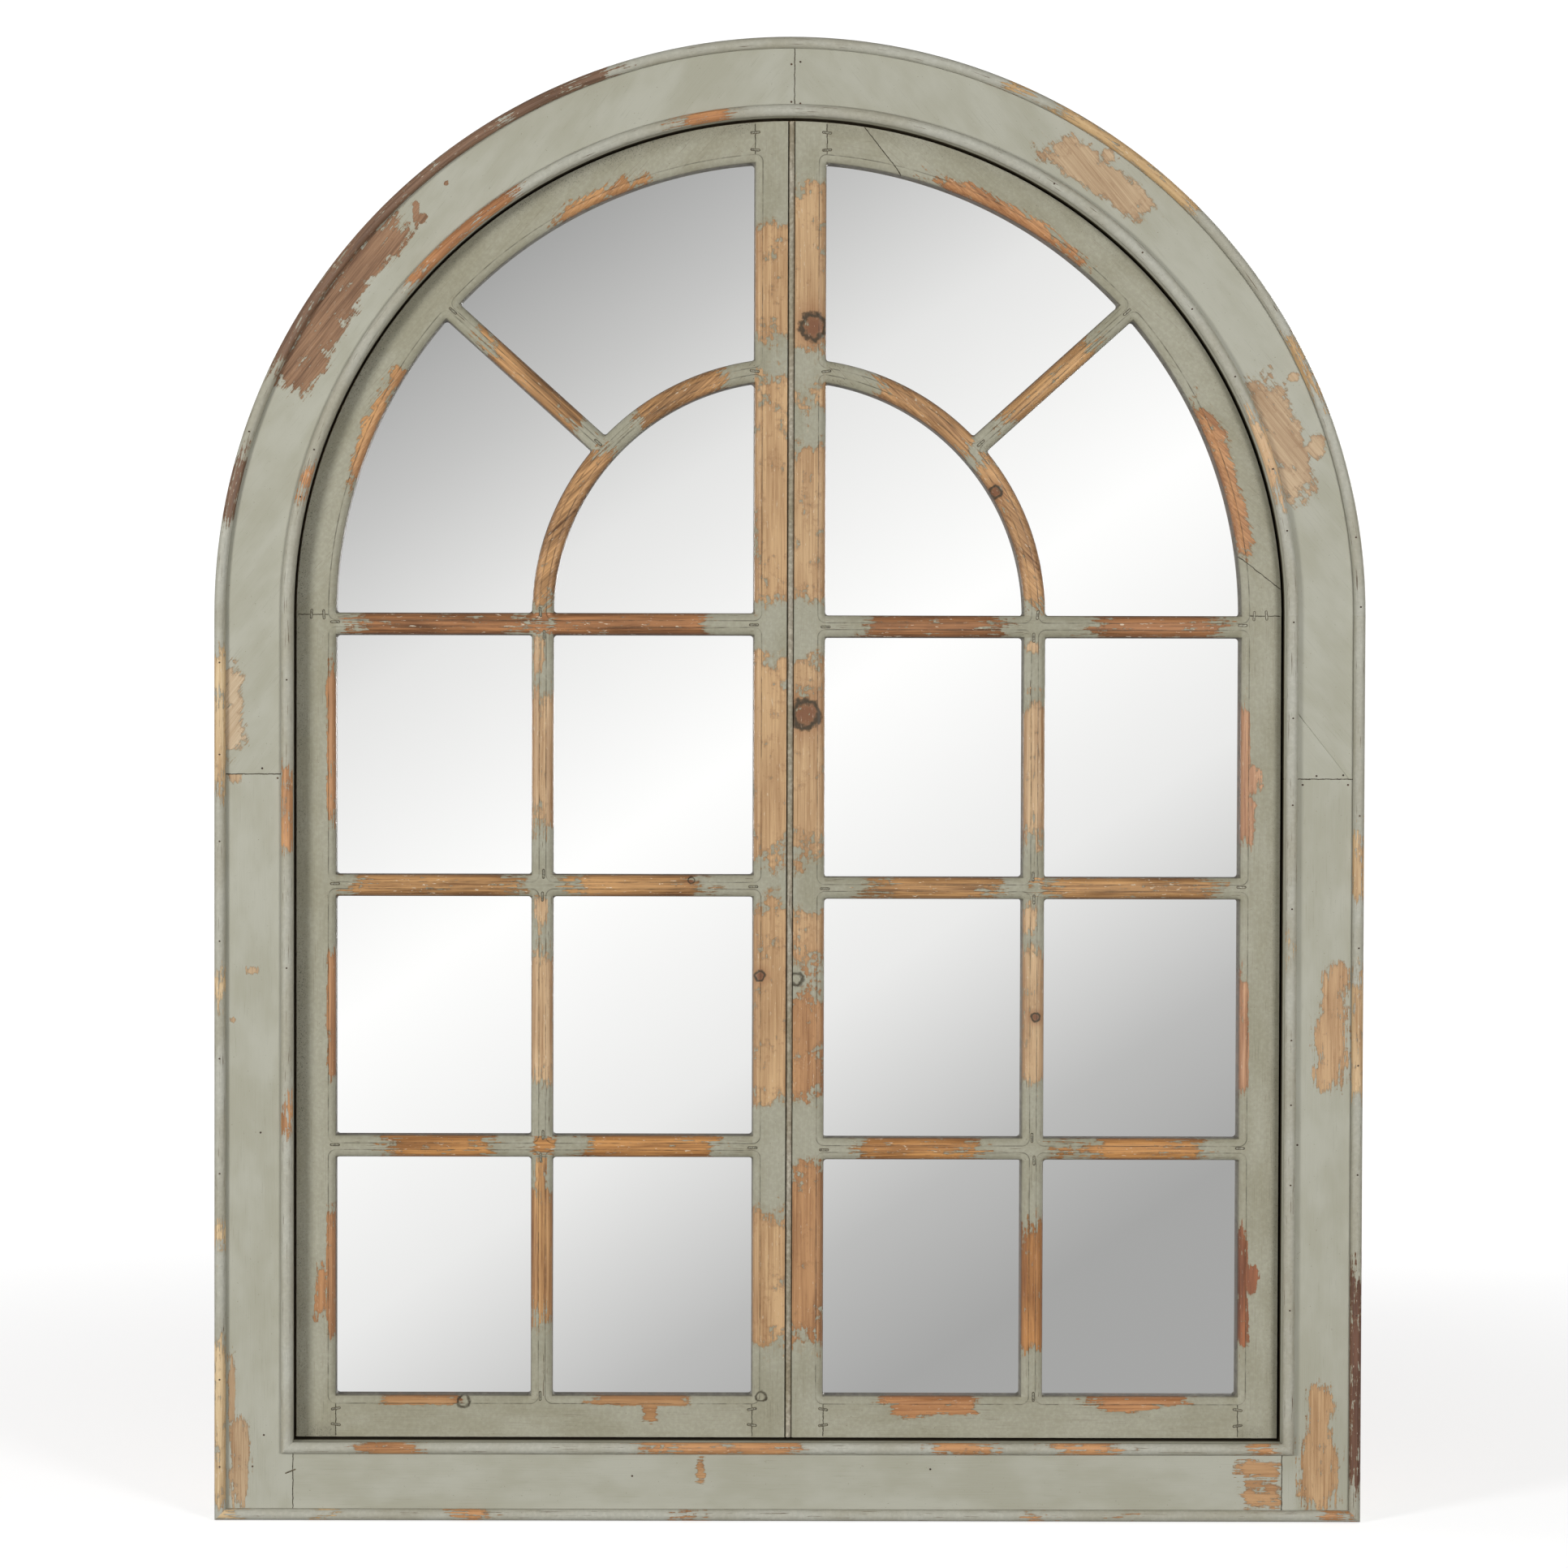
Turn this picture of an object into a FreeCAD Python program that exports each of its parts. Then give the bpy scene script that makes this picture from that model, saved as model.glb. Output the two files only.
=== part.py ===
import FreeCAD, Part
import math
import os

from FreeCAD import Vector

# Arched window mirror: a flat board casing with nailed-on beads, two fixed sash leaves with routed
# glazing bars, one mirror plate behind them, and ring hangers on the back.
# Frame: X to the right, Y towards the wall, Z up. The origin is at the middle of the base.
# All sizes are in millimetres.

# ---------------------------------------------------------------- casing and beads
overall_width = 930.0
overall_height = 1200.0
casing_width = 63.5
casing_thickness = 25.4
bead_height = 6.0
outer_bead_width = 9.2
inner_bead_width = 9.5
casing_top_seam_x = 2.6  # butt seam between the two arch boards
left_seam_drop = 129.5  # arch boards run this far below the springing line
right_seam_drop = 132.1
corner_piece_width = 51.3  # glued-on triangle that makes up the right arch board
corner_piece_height = 65.2
outer_bead_joint_inset = 119.3  # butt joint in the bottom bead, from the left side

# ---------------------------------------------------------------- sash leaves
sash_gap = 2.0
sash_thickness = 12.7
sash_stile_width = 32.0
bottom_rail_width = 33.5
bar_width = 18.0
ray_bar_width = 16.5
ray_bar_angle = 42.0  # above the springing line
pane_rows = 3
top_bar_rise = 1.8  # upper edge of the top bar, above the springing line
right_bar_drop = 1.6  # the right leaf's bars sit this much lower
meeting_line_x = -1.7
leaf_gap = 0.4
left_meeting_width = 26.5
right_meeting_width = 25.6
meeting_bead_width = 5.6
meeting_bead_quirk = 0.5
pane_roundover = 6.35
router_overrun = 1.0
upper_scarf = (75.8, 81.4)  # polar angles of the right arch rail's scarf joints, at their inner
lower_scarf = (7.6, 3.1)  # and outer ends

# ---------------------------------------------------------------- behind the sash
back_setback = 5.0  # back frame's outer edge, in from the casing's
back_thickness = 12.0
ledge_width = 14.5  # how far the back frame reaches behind the sash
mirror_thickness = 3.0
panel_thickness = 3.0
glass_clearance = 1.0
back_seam_stagger = 70.0  # back frame's side seams, below the springing line

# ---------------------------------------------------------------- points that hold the back panel
point_width = 6.0
point_length = 14.0
point_thickness = 0.5
point_bite = 6.0
points_per_side = 3
points_on_arch = 2
points_on_base = 3

# ---------------------------------------------------------------- ring hangers
hanger_polar = 20.0  # loop's place on the back frame's middle line, above the springing line
strap_width = 13.0
strap_length = 52.0
strap_thickness = 1.2
strap_clipped_corner = 3.0
ring_bar_radius = 1.5
ring_running_clearance = 0.08
ring_thickness = 2.4
ring_inner_half_width = 10.0
ring_side_length = 6.0
ring_limb = 3.0
screw_shank_radius = 2.0
screw_first_drop = 27.0
screw_second_drop = 42.0
screw_head_radius = 3.8
screw_head_height = 2.2
screw_length = 10.0

# ---------------------------------------------------------------- worked-out lines
outer_radius = overall_width / 2
arch_z = overall_height - outer_radius
opening_radius = outer_radius - casing_width
opening_bottom = casing_width
sash_radius = opening_radius - sash_gap
sash_bottom = opening_bottom + sash_gap
pane_radius = sash_radius - sash_stile_width
pane_bottom = sash_bottom + bottom_rail_width
upright_x = sash_radius / 2
top_bar_top = arch_z + top_bar_rise
pane_height = (top_bar_top - pane_bottom - pane_rows * bar_width) / pane_rows
back_outer_radius = outer_radius - back_setback
back_inner_radius = sash_radius - ledge_width
back_inner_bottom = sash_bottom + ledge_width
left_seam_z = arch_z - left_seam_drop
right_seam_z = arch_z - right_seam_drop

loop_inner_radius = ring_bar_radius + ring_running_clearance
loop_outer_radius = loop_inner_radius + strap_thickness
total_depth = bead_height + casing_thickness + back_thickness + 2 * loop_outer_radius

bead_top_y = -total_depth / 2
casing_front_y = bead_top_y + bead_height
casing_back_y = casing_front_y + casing_thickness
sash_front_y = casing_back_y - sash_thickness
back_face_y = casing_back_y + back_thickness
mirror_back_y = casing_back_y + mirror_thickness
panel_back_y = mirror_back_y + panel_thickness

reach = overall_width + overall_height  # longer than anything, for cutting regions
curved_round_count = 2  # flats in a quarter round where it follows an arch, so its faces stay simple
saw_overrun = 1.0  # how far a cutter runs past the face that it cuts through


# ---------------------------------------------------------------- shapes in the XZ plane
def at(x, z):
    return Vector(x, 0, z)


def on_circle(radius, degrees):
    """A point on a circle about the arch centre, turned up from the springing line."""
    turn = math.radians(degrees)
    return radius * math.cos(turn), arch_z + radius * math.sin(turn)


def line(start, end):
    return Part.LineSegment(at(*start), at(*end)).toShape()


def arc(radius, start, end):
    """The shorter arc about the arch centre from one point to the other."""
    turns = [math.atan2(z - arch_z, x) for x, z in (start, end)]
    middle = math.degrees(sum(turns) / 2)
    return Part.Arc(at(*start), at(*on_circle(radius, middle)), at(*end)).toShape()


def prism(edges, front, back):
    face = Part.Face(Part.Wire(edges))
    face.translate(Vector(0, front, 0))
    return face.extrude(Vector(0, back - front, 0))


def region(corners):
    """A straight-sided prism through the whole depth, for cutting pieces out of a larger blank."""
    sides = [line(a, b) for a, b in zip(corners, corners[1:] + corners[:1])]
    return prism(sides, -total_depth, total_depth)


def rectangle(x0, x1, z0, z1):
    return region([(x0, z0), (x1, z0), (x1, z1), (x0, z1)])


def arched_plate(radius, bottom, front, back):
    """A plate with straight sides and a half-round top."""
    left, right, top = (-radius, arch_z), (radius, arch_z), (0, arch_z + radius)
    crown = Part.Arc(at(*right), at(*top), at(*left)).toShape()
    sides = [line((-radius, bottom), (radius, bottom)), line((radius, bottom), right)]
    return prism(sides + [crown, line(left, (-radius, bottom))], front, back)


def disc(radius, front, back):
    return Part.makeCylinder(radius, back - front, Vector(0, front, arch_z), Vector(0, 1, 0))


def ring_band(inner, outer):
    """A ring about the arch centre, as deep as the sash."""
    band = disc(outer, sash_front_y, casing_back_y)
    return band.cut(disc(inner, sash_front_y, casing_back_y))


def mirrored(shape):
    return shape.mirror(Vector(0, 0, 0), Vector(1, 0, 0))


def touching(shape, others):
    box = shape.BoundBox
    return [other for other in others if box.intersect(other.BoundBox)]


def cut_by(shape, others):
    near = touching(shape, others)
    return shape.cut(near) if near else shape


def one_solid(shape):
    """The single solid of a boolean result."""
    solids = shape.removeSplitter().Solids
    return max(solids, key=lambda solid: solid.Volume)


# ---------------------------------------------------------------- one sash leaf
def circle_height(radius, x):
    return arch_z + math.sqrt(radius**2 - x**2)


def circle_x(radius, z):
    return math.sqrt(radius**2 - (z - arch_z) ** 2)


def ray_point(radius, side):
    """Where one side of the ray bar crosses a circle: side is 1 for the upper, -1 for the lower."""
    along = math.sqrt(radius**2 - (ray_bar_width / 2) ** 2)
    turn = math.radians(ray_bar_angle)
    across = side * ray_bar_width / 2
    x = along * math.cos(turn) - across * math.sin(turn)
    z = along * math.sin(turn) + across * math.cos(turn)
    return x, arch_z + z


class Leaf:
    """Lines of a leaf to the right of the centre. The left leaf is built the same way and mirrored."""

    def __init__(self, edge_x, pane_x, bar_drop):
        self.edge_x = edge_x
        self.pane_x = pane_x
        self.top = top_bar_top - bar_drop
        self.bars = [self.top - i * (pane_height + bar_width) for i in range(pane_rows)]
        self.upright = (upright_x - bar_width / 2, upright_x + bar_width / 2)


class Side:
    """One side of a pane, walked with the wood on its right: a straight line, or an arc about the arch
    centre where it has a radius."""

    def __init__(self, start, end, radius=None):
        self.start, self.end, self.radius = start, end, radius
        self.length = math.dist(start, end)
        if radius:
            self.turns = [math.atan2(z - arch_z, x) for x, z in (start, end)]
            self.way = math.copysign(1, self.turns[1] - self.turns[0])
            self.length = radius * abs(self.turns[1] - self.turns[0])

    def point(self, distance):
        if self.radius:
            turn = self.turns[0] + self.way * distance / self.radius
            return on_circle(self.radius, math.degrees(turn))
        share = distance / self.length
        return tuple(a + (b - a) * share for a, b in zip(self.start, self.end))

    def tangent(self, distance):
        if self.radius:
            turn = self.turns[0] + self.way * distance / self.radius
            return -self.way * math.sin(turn), self.way * math.cos(turn)
        return tuple((b - a) / self.length for a, b in zip(self.start, self.end))

    def outward(self, distance):
        x, z = self.tangent(distance)
        return z, -x

    def edge(self):
        if self.radius:
            return arc(self.radius, self.start, self.end)
        return line(self.start, self.end)


def polygon_sides(corners):
    return [Side(a, b) for a, b in zip(corners, corners[1:] + corners[:1])]


def pane_outlines(leaf):
    """Outlines of the leaf's panes: the square ones row by row, then the three of the fanlight."""
    inner, outer = leaf.upright
    outlines = []
    for row, bar_top in enumerate(leaf.bars):
        above = bar_top - bar_width
        below = leaf.bars[row + 1] if row + 1 < pane_rows else pane_bottom
        for x0, x1 in ((leaf.pane_x, inner), (outer, pane_radius)):
            outlines.append(polygon_sides([(x0, below), (x1, below), (x1, above), (x0, above)]))

    top, x0 = leaf.top, leaf.pane_x
    foot, head, corner = (circle_x(inner, top), top), (x0, circle_height(inner, x0)), (x0, top)
    outlines.append([Side(corner, foot), Side(foot, head, inner), Side(head, corner)])

    low_in, low_out = (circle_x(outer, top), top), (circle_x(pane_radius, top), top)
    ray_in, ray_out = ray_point(outer, -1), ray_point(pane_radius, -1)
    outlines.append(
        [
            Side(low_in, low_out),
            Side(low_out, ray_out, pane_radius),
            Side(ray_out, ray_in),
            Side(ray_in, low_in, outer),
        ]
    )

    ray_in, ray_out = ray_point(outer, 1), ray_point(pane_radius, 1)
    high_out, high_in = (x0, circle_height(pane_radius, x0)), (x0, circle_height(outer, x0))
    outlines.append(
        [
            Side(ray_in, ray_out),
            Side(ray_out, high_out, pane_radius),
            Side(high_out, high_in),
            Side(high_in, ray_in, outer),
        ]
    )
    return outlines


def quarter_turn(centre, first, last, flats):
    """Edges of a quarter circle between two radius vectors: one true arc, or a number of flats."""
    if not flats:
        middle = (first + last) * math.sqrt(0.5)
        return [Part.Arc(centre + first, centre + middle, centre + last).toShape()]
    turns = [math.radians(90 * step / flats) for step in range(flats + 1)]
    points = [centre + first * math.cos(turn) + last * math.sin(turn) for turn in turns]
    return [Part.LineSegment(a, b).toShape() for a, b in zip(points, points[1:])]


def roundover_section(spot, outward, flats):
    """What the router takes off beside a pane's edge, in the plane across that edge."""
    across = Vector(outward[0], 0, outward[1])
    deep = Vector(0, 1, 0)
    low, high = -router_overrun, pane_roundover
    face = at(*spot) + deep * sash_front_y
    corners = [(0, high), (low, high), (low, low), (high, low), (high, 0)]
    points = [face + across * distance + deep * depth for distance, depth in corners]
    edges = [Part.LineSegment(a, b).toShape() for a, b in zip(points, points[1:])]
    centre = face + across * high + deep * high
    return Part.Face(Part.Wire(edges + quarter_turn(centre, deep * -high, across * -high, flats)))


def mitre_waste(spot, bisector, away):
    """The block past a mitre plane that stands on a corner of a pane."""
    size = 3 * pane_roundover
    across = (bisector[1], -bisector[0])
    if across[0] * away[0] + across[1] * away[1] < 0:
        across = (-across[0], -across[1])
    a = (spot[0] - size * bisector[0], spot[1] - size * bisector[1])
    b = (spot[0] + size * bisector[0], spot[1] + size * bisector[1])
    shifted = [(x + size * across[0], z + size * across[1]) for x, z in (b, a)]
    return region([a, b] + shifted)


def bisector_of(first, second):
    x, z = first[0] + second[0], first[1] + second[1]
    length = math.hypot(x, z)
    return x / length, z / length


def roundover(side, before, after, flats):
    """The router's path along one side of a pane, mitred to the sides before and after it."""
    extra = 2 * pane_roundover
    whole = side.length + 2 * extra
    section = roundover_section(side.point(-extra), side.outward(-extra), flats)
    if side.radius:
        degrees = math.degrees(side.way * whole / side.radius)
        path = section.revolve(at(0, arch_z), Vector(0, -1, 0), degrees)
    else:
        x, z = side.tangent(0)
        path = section.extrude(Vector(x, 0, z) * whole)
    starts = side.tangent(0)
    first = bisector_of(before.outward(before.length), side.outward(0))
    last = bisector_of(side.outward(side.length), after.outward(0))
    wastes = [
        mitre_waste(side.start, first, (-starts[0], -starts[1])),
        mitre_waste(side.end, last, side.tangent(side.length)),
    ]
    return path.cut(wastes)


def pane_cutters(outline):
    """What is cut and routed away for one pane: the hole, and a quarter round along each side."""
    hole = prism([side.edge() for side in outline], sash_front_y - saw_overrun, casing_back_y + saw_overrun)
    curved = any(side.radius for side in outline)
    flats = curved_round_count if curved else 0
    neighbours = zip(outline[-1:] + outline[:-1], outline, outline[1:] + outline[:1])
    return [hole] + [roundover(side, before, after, flats) for before, side, after in neighbours]


def beyond_scarf(inner_polar, outer_polar):
    """The part of the arch rail past a scarf joint, which crosses the rail between two polar angles."""
    hub = (0, arch_z)
    inner_end, outer_end = on_circle(pane_radius, inner_polar), on_circle(sash_radius, outer_polar)
    return region([hub, inner_end, outer_end, on_circle(reach, outer_polar), on_circle(reach, 120)])


def build_leaf(leaf, arch_rail_cuts):
    """The leaf's sticks by name. The real leaf is glued up first and then routed round every pane."""
    blank = arched_plate(sash_radius, sash_bottom, sash_front_y, casing_back_y)
    field = disc(pane_radius, -total_depth, total_depth)
    field = field.fuse(rectangle(-pane_radius, pane_radius, -reach, arch_z))
    inner, outer = leaf.upright

    regions = {
        "outer_stile": rectangle(pane_radius, reach, -reach, arch_z),
        "meeting_stile": rectangle(leaf.edge_x, leaf.pane_x, -reach, reach),
        "bottom_rail": rectangle(leaf.pane_x, pane_radius, -reach, pane_bottom),
    }
    for row, bar_top in enumerate(leaf.bars):
        below = leaf.bars[row + 1] if row + 1 < pane_rows else pane_bottom
        bar_low = bar_top - bar_width
        bar = rectangle(leaf.pane_x, pane_radius, bar_low, bar_top).common(field)
        regions[f"bar_{row + 1}"] = bar
        regions[f"upright_{row + 1}"] = rectangle(inner, outer, below, bar_low)

    quarter = rectangle(leaf.pane_x, reach, leaf.top, reach)
    regions["arc_bar"] = ring_band(inner, outer).common(quarter)
    ray = Part.makeBox(reach, reach, ray_bar_width, Vector(0, -reach / 2, -ray_bar_width / 2))
    ray.rotate(Vector(0, 0, 0), Vector(0, 1, 0), -ray_bar_angle)
    ray.translate(at(0, arch_z))
    regions["ray_bar"] = ray.common(ring_band(outer, pane_radius))

    rail = ring_band(pane_radius, reach).common(rectangle(leaf.pane_x, reach, arch_z, reach))
    names = ["arch_rail"]
    if arch_rail_cuts:
        names = [f"arch_rail_{number + 1}" for number in range(len(arch_rail_cuts) + 1)]
    for name, scarf in zip(names, arch_rail_cuts):
        beyond = beyond_scarf(*scarf)
        regions[name] = rail.common(beyond)
        rail = rail.cut(beyond)
    regions[names[-1]] = rail

    cutters = []
    for outline in pane_outlines(leaf):
        cutters += pane_cutters(outline)
    return {name: one_solid(cut_by(blank.common(where), cutters)) for name, where in regions.items()}


def meeting_bead():
    """The half-round strip on the right leaf's meeting edge, with a quirk on each side."""
    x0 = meeting_line_x + leaf_gap / 2
    x1 = x0 + meeting_bead_width
    low, high = x0 + meeting_bead_quirk, x1 - meeting_bead_quirk
    radius = (high - low) / 2
    shoulder = sash_front_y + radius
    points = [(low, shoulder), (x0, shoulder), (x0, casing_back_y), (x1, casing_back_y)]
    points += [(x1, shoulder), (high, shoulder)]
    ends = [Vector(x, y, 0) for x, y in points]
    edges = [Part.LineSegment(a, b).toShape() for a, b in zip(ends, ends[1:])]
    crown = Vector((low + high) / 2, sash_front_y, 0)
    edges.append(Part.Arc(ends[-1], crown, ends[0]).toShape())
    strip = Part.Face(Part.Wire(edges)).extrude(Vector(0, 0, overall_height))
    limits = arched_plate(sash_radius, sash_bottom, -total_depth, total_depth)
    return one_solid(strip.common(limits))


# ---------------------------------------------------------------- beads on the casing face
def bead_face(corner, across, width, flats=0):
    """A bead's section on the casing face: square at the foot and half round on top."""
    forward = Vector(0, -1, 0)
    radius = width / 2
    low = [corner, corner + across * width]
    high = [end + forward * (bead_height - radius) for end in low]
    centre = (high[0] + high[1]) * 0.5
    edges = [Part.LineSegment(a, b).toShape() for a, b in (low, (low[1], high[1]))]
    edges += quarter_turn(centre, across * radius, forward * radius, flats)
    edges += quarter_turn(centre, forward * radius, across * -radius, flats)
    edges.append(Part.LineSegment(high[0], low[0]).toShape())
    return Part.Face(Part.Wire(edges))


def bead_pieces(line_radius, line_bottom, width):
    """Left, right, arch and bottom beads whose inner line is given, mitred at the bottom corners."""
    right = Vector(1, 0, 0)
    start = Vector(line_radius, casing_front_y, arch_z)
    arch = bead_face(start, right, width, curved_round_count)
    arch = arch.revolve(at(0, arch_z), Vector(0, -1, 0), 180)
    low = line_bottom - width
    side = bead_face(start, right, width).extrude(Vector(0, 0, low - arch_z))
    base_start = Vector(-line_radius - width, casing_front_y, low)
    base = bead_face(base_start, Vector(0, 0, 1), width).extrude(right * 2 * (line_radius + width))
    mitre_out = (line_radius + width, low)
    mitre_in = (line_radius, line_bottom)
    side_zone = region([mitre_out, (line_radius + width, arch_z), (line_radius, arch_z), mitre_in])
    base_zone = region(
        [mitre_out, mitre_in, (-mitre_in[0], mitre_in[1]), (-mitre_out[0], mitre_out[1])]
    )
    side = side.common(side_zone)
    return mirrored(side), side, arch, base.common(base_zone)


# ---------------------------------------------------------------- points that hold the back panel
def places_round(radius, bottom):
    """Evenly spaced places along the back frame's inner wall, as (x, z, direction out of the wood)."""
    places = []
    for step in range(points_per_side):
        z = bottom + (arch_z - bottom) * (step + 0.5) / points_per_side
        places += [(-radius, z, 0), (radius, z, 180)]
    for step in range(points_on_arch):
        polar = 180 * (step + 0.5) / points_on_arch
        x, z = on_circle(radius, polar)
        places.append((x, z, polar + 180))
    for step in range(points_on_base):
        x = radius * (2 * step + 1 - points_on_base) / points_on_base
        places.append((x, bottom, 90))
    return places


def panel_points():
    """Flat points driven into the back frame's inner wall, lying on the back panel."""
    points = []
    for x, z, inward in places_round(back_inner_radius, back_inner_bottom):
        corner = Vector(-point_bite, panel_back_y, -point_width / 2)
        point = Part.makeBox(point_length, point_thickness, point_width, corner)
        point.rotate(Vector(0, 0, 0), Vector(0, 1, 0), -inward)
        point.translate(at(x, z))
        points.append(point)
    return points


# ---------------------------------------------------------------- hangers
def hanger(side):
    """Strap, ring and two screws of one hanger; the ring hangs down over the strap."""
    band_radius = (back_inner_radius + back_outer_radius) / 2
    x, z = on_circle(band_radius, hanger_polar)
    loop = Vector(side * x, back_face_y + loop_outer_radius, z)
    half = strap_width / 2
    across = Vector(1, 0, 0)

    foot, clip = loop.z - strap_length, strap_clipped_corner
    outline = [(half, loop.z), (-half, loop.z), (-half, foot + clip), (clip - half, foot)]
    outline += [(half - clip, foot), (half, foot + clip)]
    moved = [(loop.x + a, b) for a, b in outline]
    edges = [line(a, b) for a, b in zip(moved, moved[1:] + moved[:1])]
    flat = prism(edges, back_face_y, back_face_y + strap_thickness)
    roll = Part.makeCylinder(loop_outer_radius, strap_width, loop - across * half, across)
    bore = Part.makeCylinder(loop_inner_radius, strap_width, loop - across * half, across)
    strap = flat.fuse(roll).cut(bore)

    screws = []
    towards_wall = Vector(0, 1, 0)
    for drop in (screw_first_drop, screw_second_drop):
        seat = Vector(loop.x, back_face_y + strap_thickness, loop.z - drop)
        head = Part.makeCylinder(screw_head_radius, screw_head_height, seat, towards_wall)
        screws.append(head.fuse(screw_shank(seat)).removeSplitter())
        strap = strap.cut(screws[-1])

    return one_solid(strap), hanger_ring(loop), screws


def screw_shank(seat):
    """The threaded core under a screw's head, plain and six-sided where the wood hides it."""
    turns = [math.radians(60 * step) for step in range(6)]
    spots = [(math.cos(turn), math.sin(turn)) for turn in turns]
    corners = [(seat.x + screw_shank_radius * a, seat.z + screw_shank_radius * b) for a, b in spots]
    edges = [line(a, b) for a, b in zip(corners, corners[1:] + corners[:1])]
    return prism(edges, seat.y - screw_length, seat.y)


def d_outline(half_width, top):
    """A D lying on its round side: straight across the top, straight sides, a half circle below."""
    low = -ring_side_length
    corners = [Vector(-half_width, 0, low), Vector(-half_width, 0, top), Vector(half_width, 0, top)]
    corners.append(Vector(half_width, 0, low))
    edges = [Part.LineSegment(a, b).toShape() for a, b in zip(corners, corners[1:])]
    lowest = Vector(0, 0, low - half_width)
    edges.append(Part.Arc(corners[-1], lowest, corners[0]).toShape())
    return prism(edges, -ring_thickness / 2, ring_thickness / 2)


def hanger_ring(loop):
    """A stamped D ring: its round bar lies in the strap's loop and the round side hangs down."""
    half = ring_inner_half_width
    plate = d_outline(half + ring_limb, ring_bar_radius).cut(d_outline(half, 2 * ring_bar_radius))
    bar = Part.makeCylinder(ring_bar_radius, 2 * half, Vector(-half, 0, 0), Vector(1, 0, 0))
    ring = plate.fuse(bar)
    ring.translate(loop)
    return one_solid(ring)


# ---------------------------------------------------------------- whole mirror
def build():
    nodes = {}

    # Casing boards, cut from one arched ring along the seams.
    casing = arched_plate(outer_radius, 0, casing_front_y, casing_back_y)
    casing = casing.cut(arched_plate(opening_radius, opening_bottom, casing_front_y, casing_back_y))
    low_corner = (opening_radius, right_seam_z)
    corner = region(
        [
            low_corner,
            (opening_radius + corner_piece_width, right_seam_z),
            (opening_radius, right_seam_z + corner_piece_height),
        ]
    )
    right_arch = rectangle(casing_top_seam_x, reach, right_seam_z, reach)
    boards = {
        "casing_arch_left": rectangle(-reach, casing_top_seam_x, left_seam_z, reach),
        "casing_arch_right": right_arch.cut(corner),
        "casing_arch_corner": corner,
        "casing_stile_left": rectangle(-reach, -opening_radius, -reach, left_seam_z),
        "casing_stile_right": rectangle(opening_radius, reach, -reach, right_seam_z),
        "casing_bottom_rail": rectangle(-opening_radius, opening_radius, -reach, opening_bottom),
    }
    for name, where in boards.items():
        nodes[name] = one_solid(casing.common(where))

    # Beads round the casing's outer edge and round the opening.
    outer_line = outer_radius - outer_bead_width
    left, right, arch, base = bead_pieces(outer_line, outer_bead_width, outer_bead_width)
    joint_x = outer_bead_joint_inset - outer_radius
    nodes["outer_bead_left"] = left
    nodes["outer_bead_right"] = right
    nodes["outer_bead_arch"] = arch
    nodes["outer_bead_bottom_short"] = base.common(rectangle(-reach, joint_x, -reach, reach))
    nodes["outer_bead_bottom_long"] = base.common(rectangle(joint_x, reach, -reach, reach))
    left, right, arch, base = bead_pieces(opening_radius, opening_bottom, inner_bead_width)
    nodes["inner_bead_left"] = left
    nodes["inner_bead_right"] = right
    nodes["inner_bead_arch"] = arch
    nodes["inner_bead_bottom"] = base

    # The two leaves. The left one is built on the right and mirrored.
    left_leaf = Leaf(
        edge_x=leaf_gap / 2 - meeting_line_x,
        pane_x=leaf_gap / 2 - meeting_line_x + left_meeting_width,
        bar_drop=0.0,
    )
    right_edge = meeting_line_x + leaf_gap / 2 + meeting_bead_width
    right_leaf = Leaf(
        edge_x=right_edge,
        pane_x=right_edge + right_meeting_width,
        bar_drop=right_bar_drop,
    )
    for name, stick in build_leaf(left_leaf, []).items():
        nodes[f"left_{name}"] = mirrored(stick)
    for name, stick in build_leaf(right_leaf, [upper_scarf, lower_scarf]).items():
        nodes[f"right_{name}"] = stick
    nodes["meeting_bead"] = meeting_bead()

    # Back frame: a narrower ring whose inner part is the ledge that the leaves sit on.
    back = arched_plate(back_outer_radius, back_setback, casing_back_y, back_face_y)
    back = back.cut(
        arched_plate(back_inner_radius, back_inner_bottom, casing_back_y, back_face_y)
    )
    seam_z = arch_z - back_seam_stagger
    rail_half = back_inner_radius
    points = panel_points()
    members = {
        "back_arch_left": rectangle(-reach, 0, seam_z, reach),
        "back_arch_right": rectangle(0, reach, seam_z, reach),
        "back_stile_left": rectangle(-reach, -rail_half, -reach, seam_z),
        "back_stile_right": rectangle(rail_half, reach, -reach, seam_z),
        "back_bottom_rail": rectangle(-rail_half, rail_half, -reach, back_inner_bottom),
    }
    for name, where in members.items():
        nodes[name] = one_solid(cut_by(back.common(where), points))
    nodes["panel_points"] = Part.makeCompound(points)

    # Mirror plate and back panel, inside the back frame.
    plate_radius = back_inner_radius - glass_clearance
    plate_bottom = back_inner_bottom + glass_clearance
    nodes["mirror_plate"] = arched_plate(plate_radius, plate_bottom, casing_back_y, mirror_back_y)
    nodes["back_panel"] = arched_plate(plate_radius, plate_bottom, mirror_back_y, panel_back_y)

    # Hangers, with holes for their screws in the back frame.
    screws = []
    for name, side in (("left", -1), ("right", 1)):
        strap, ring, pair = hanger(side)
        nodes[f"hanger_strap_{name}"] = strap
        nodes[f"hanger_ring_{name}"] = ring
        screws += pair
        arch_name = f"back_arch_{name}"
        nodes[arch_name] = one_solid(cut_by(nodes[arch_name], pair))
    nodes["hanger_screws"] = Part.makeCompound(screws)
    return nodes


os.makedirs("parts", exist_ok=True)
for node, shape in build().items():
    shape.exportStep(f"parts/{node}.step")
    print(f"{node}: {len(shape.Solids)} solid(s), {shape.Volume / 1000:.2f} cm3, valid {shape.isValid()}")
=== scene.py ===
import functools
import math

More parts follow.
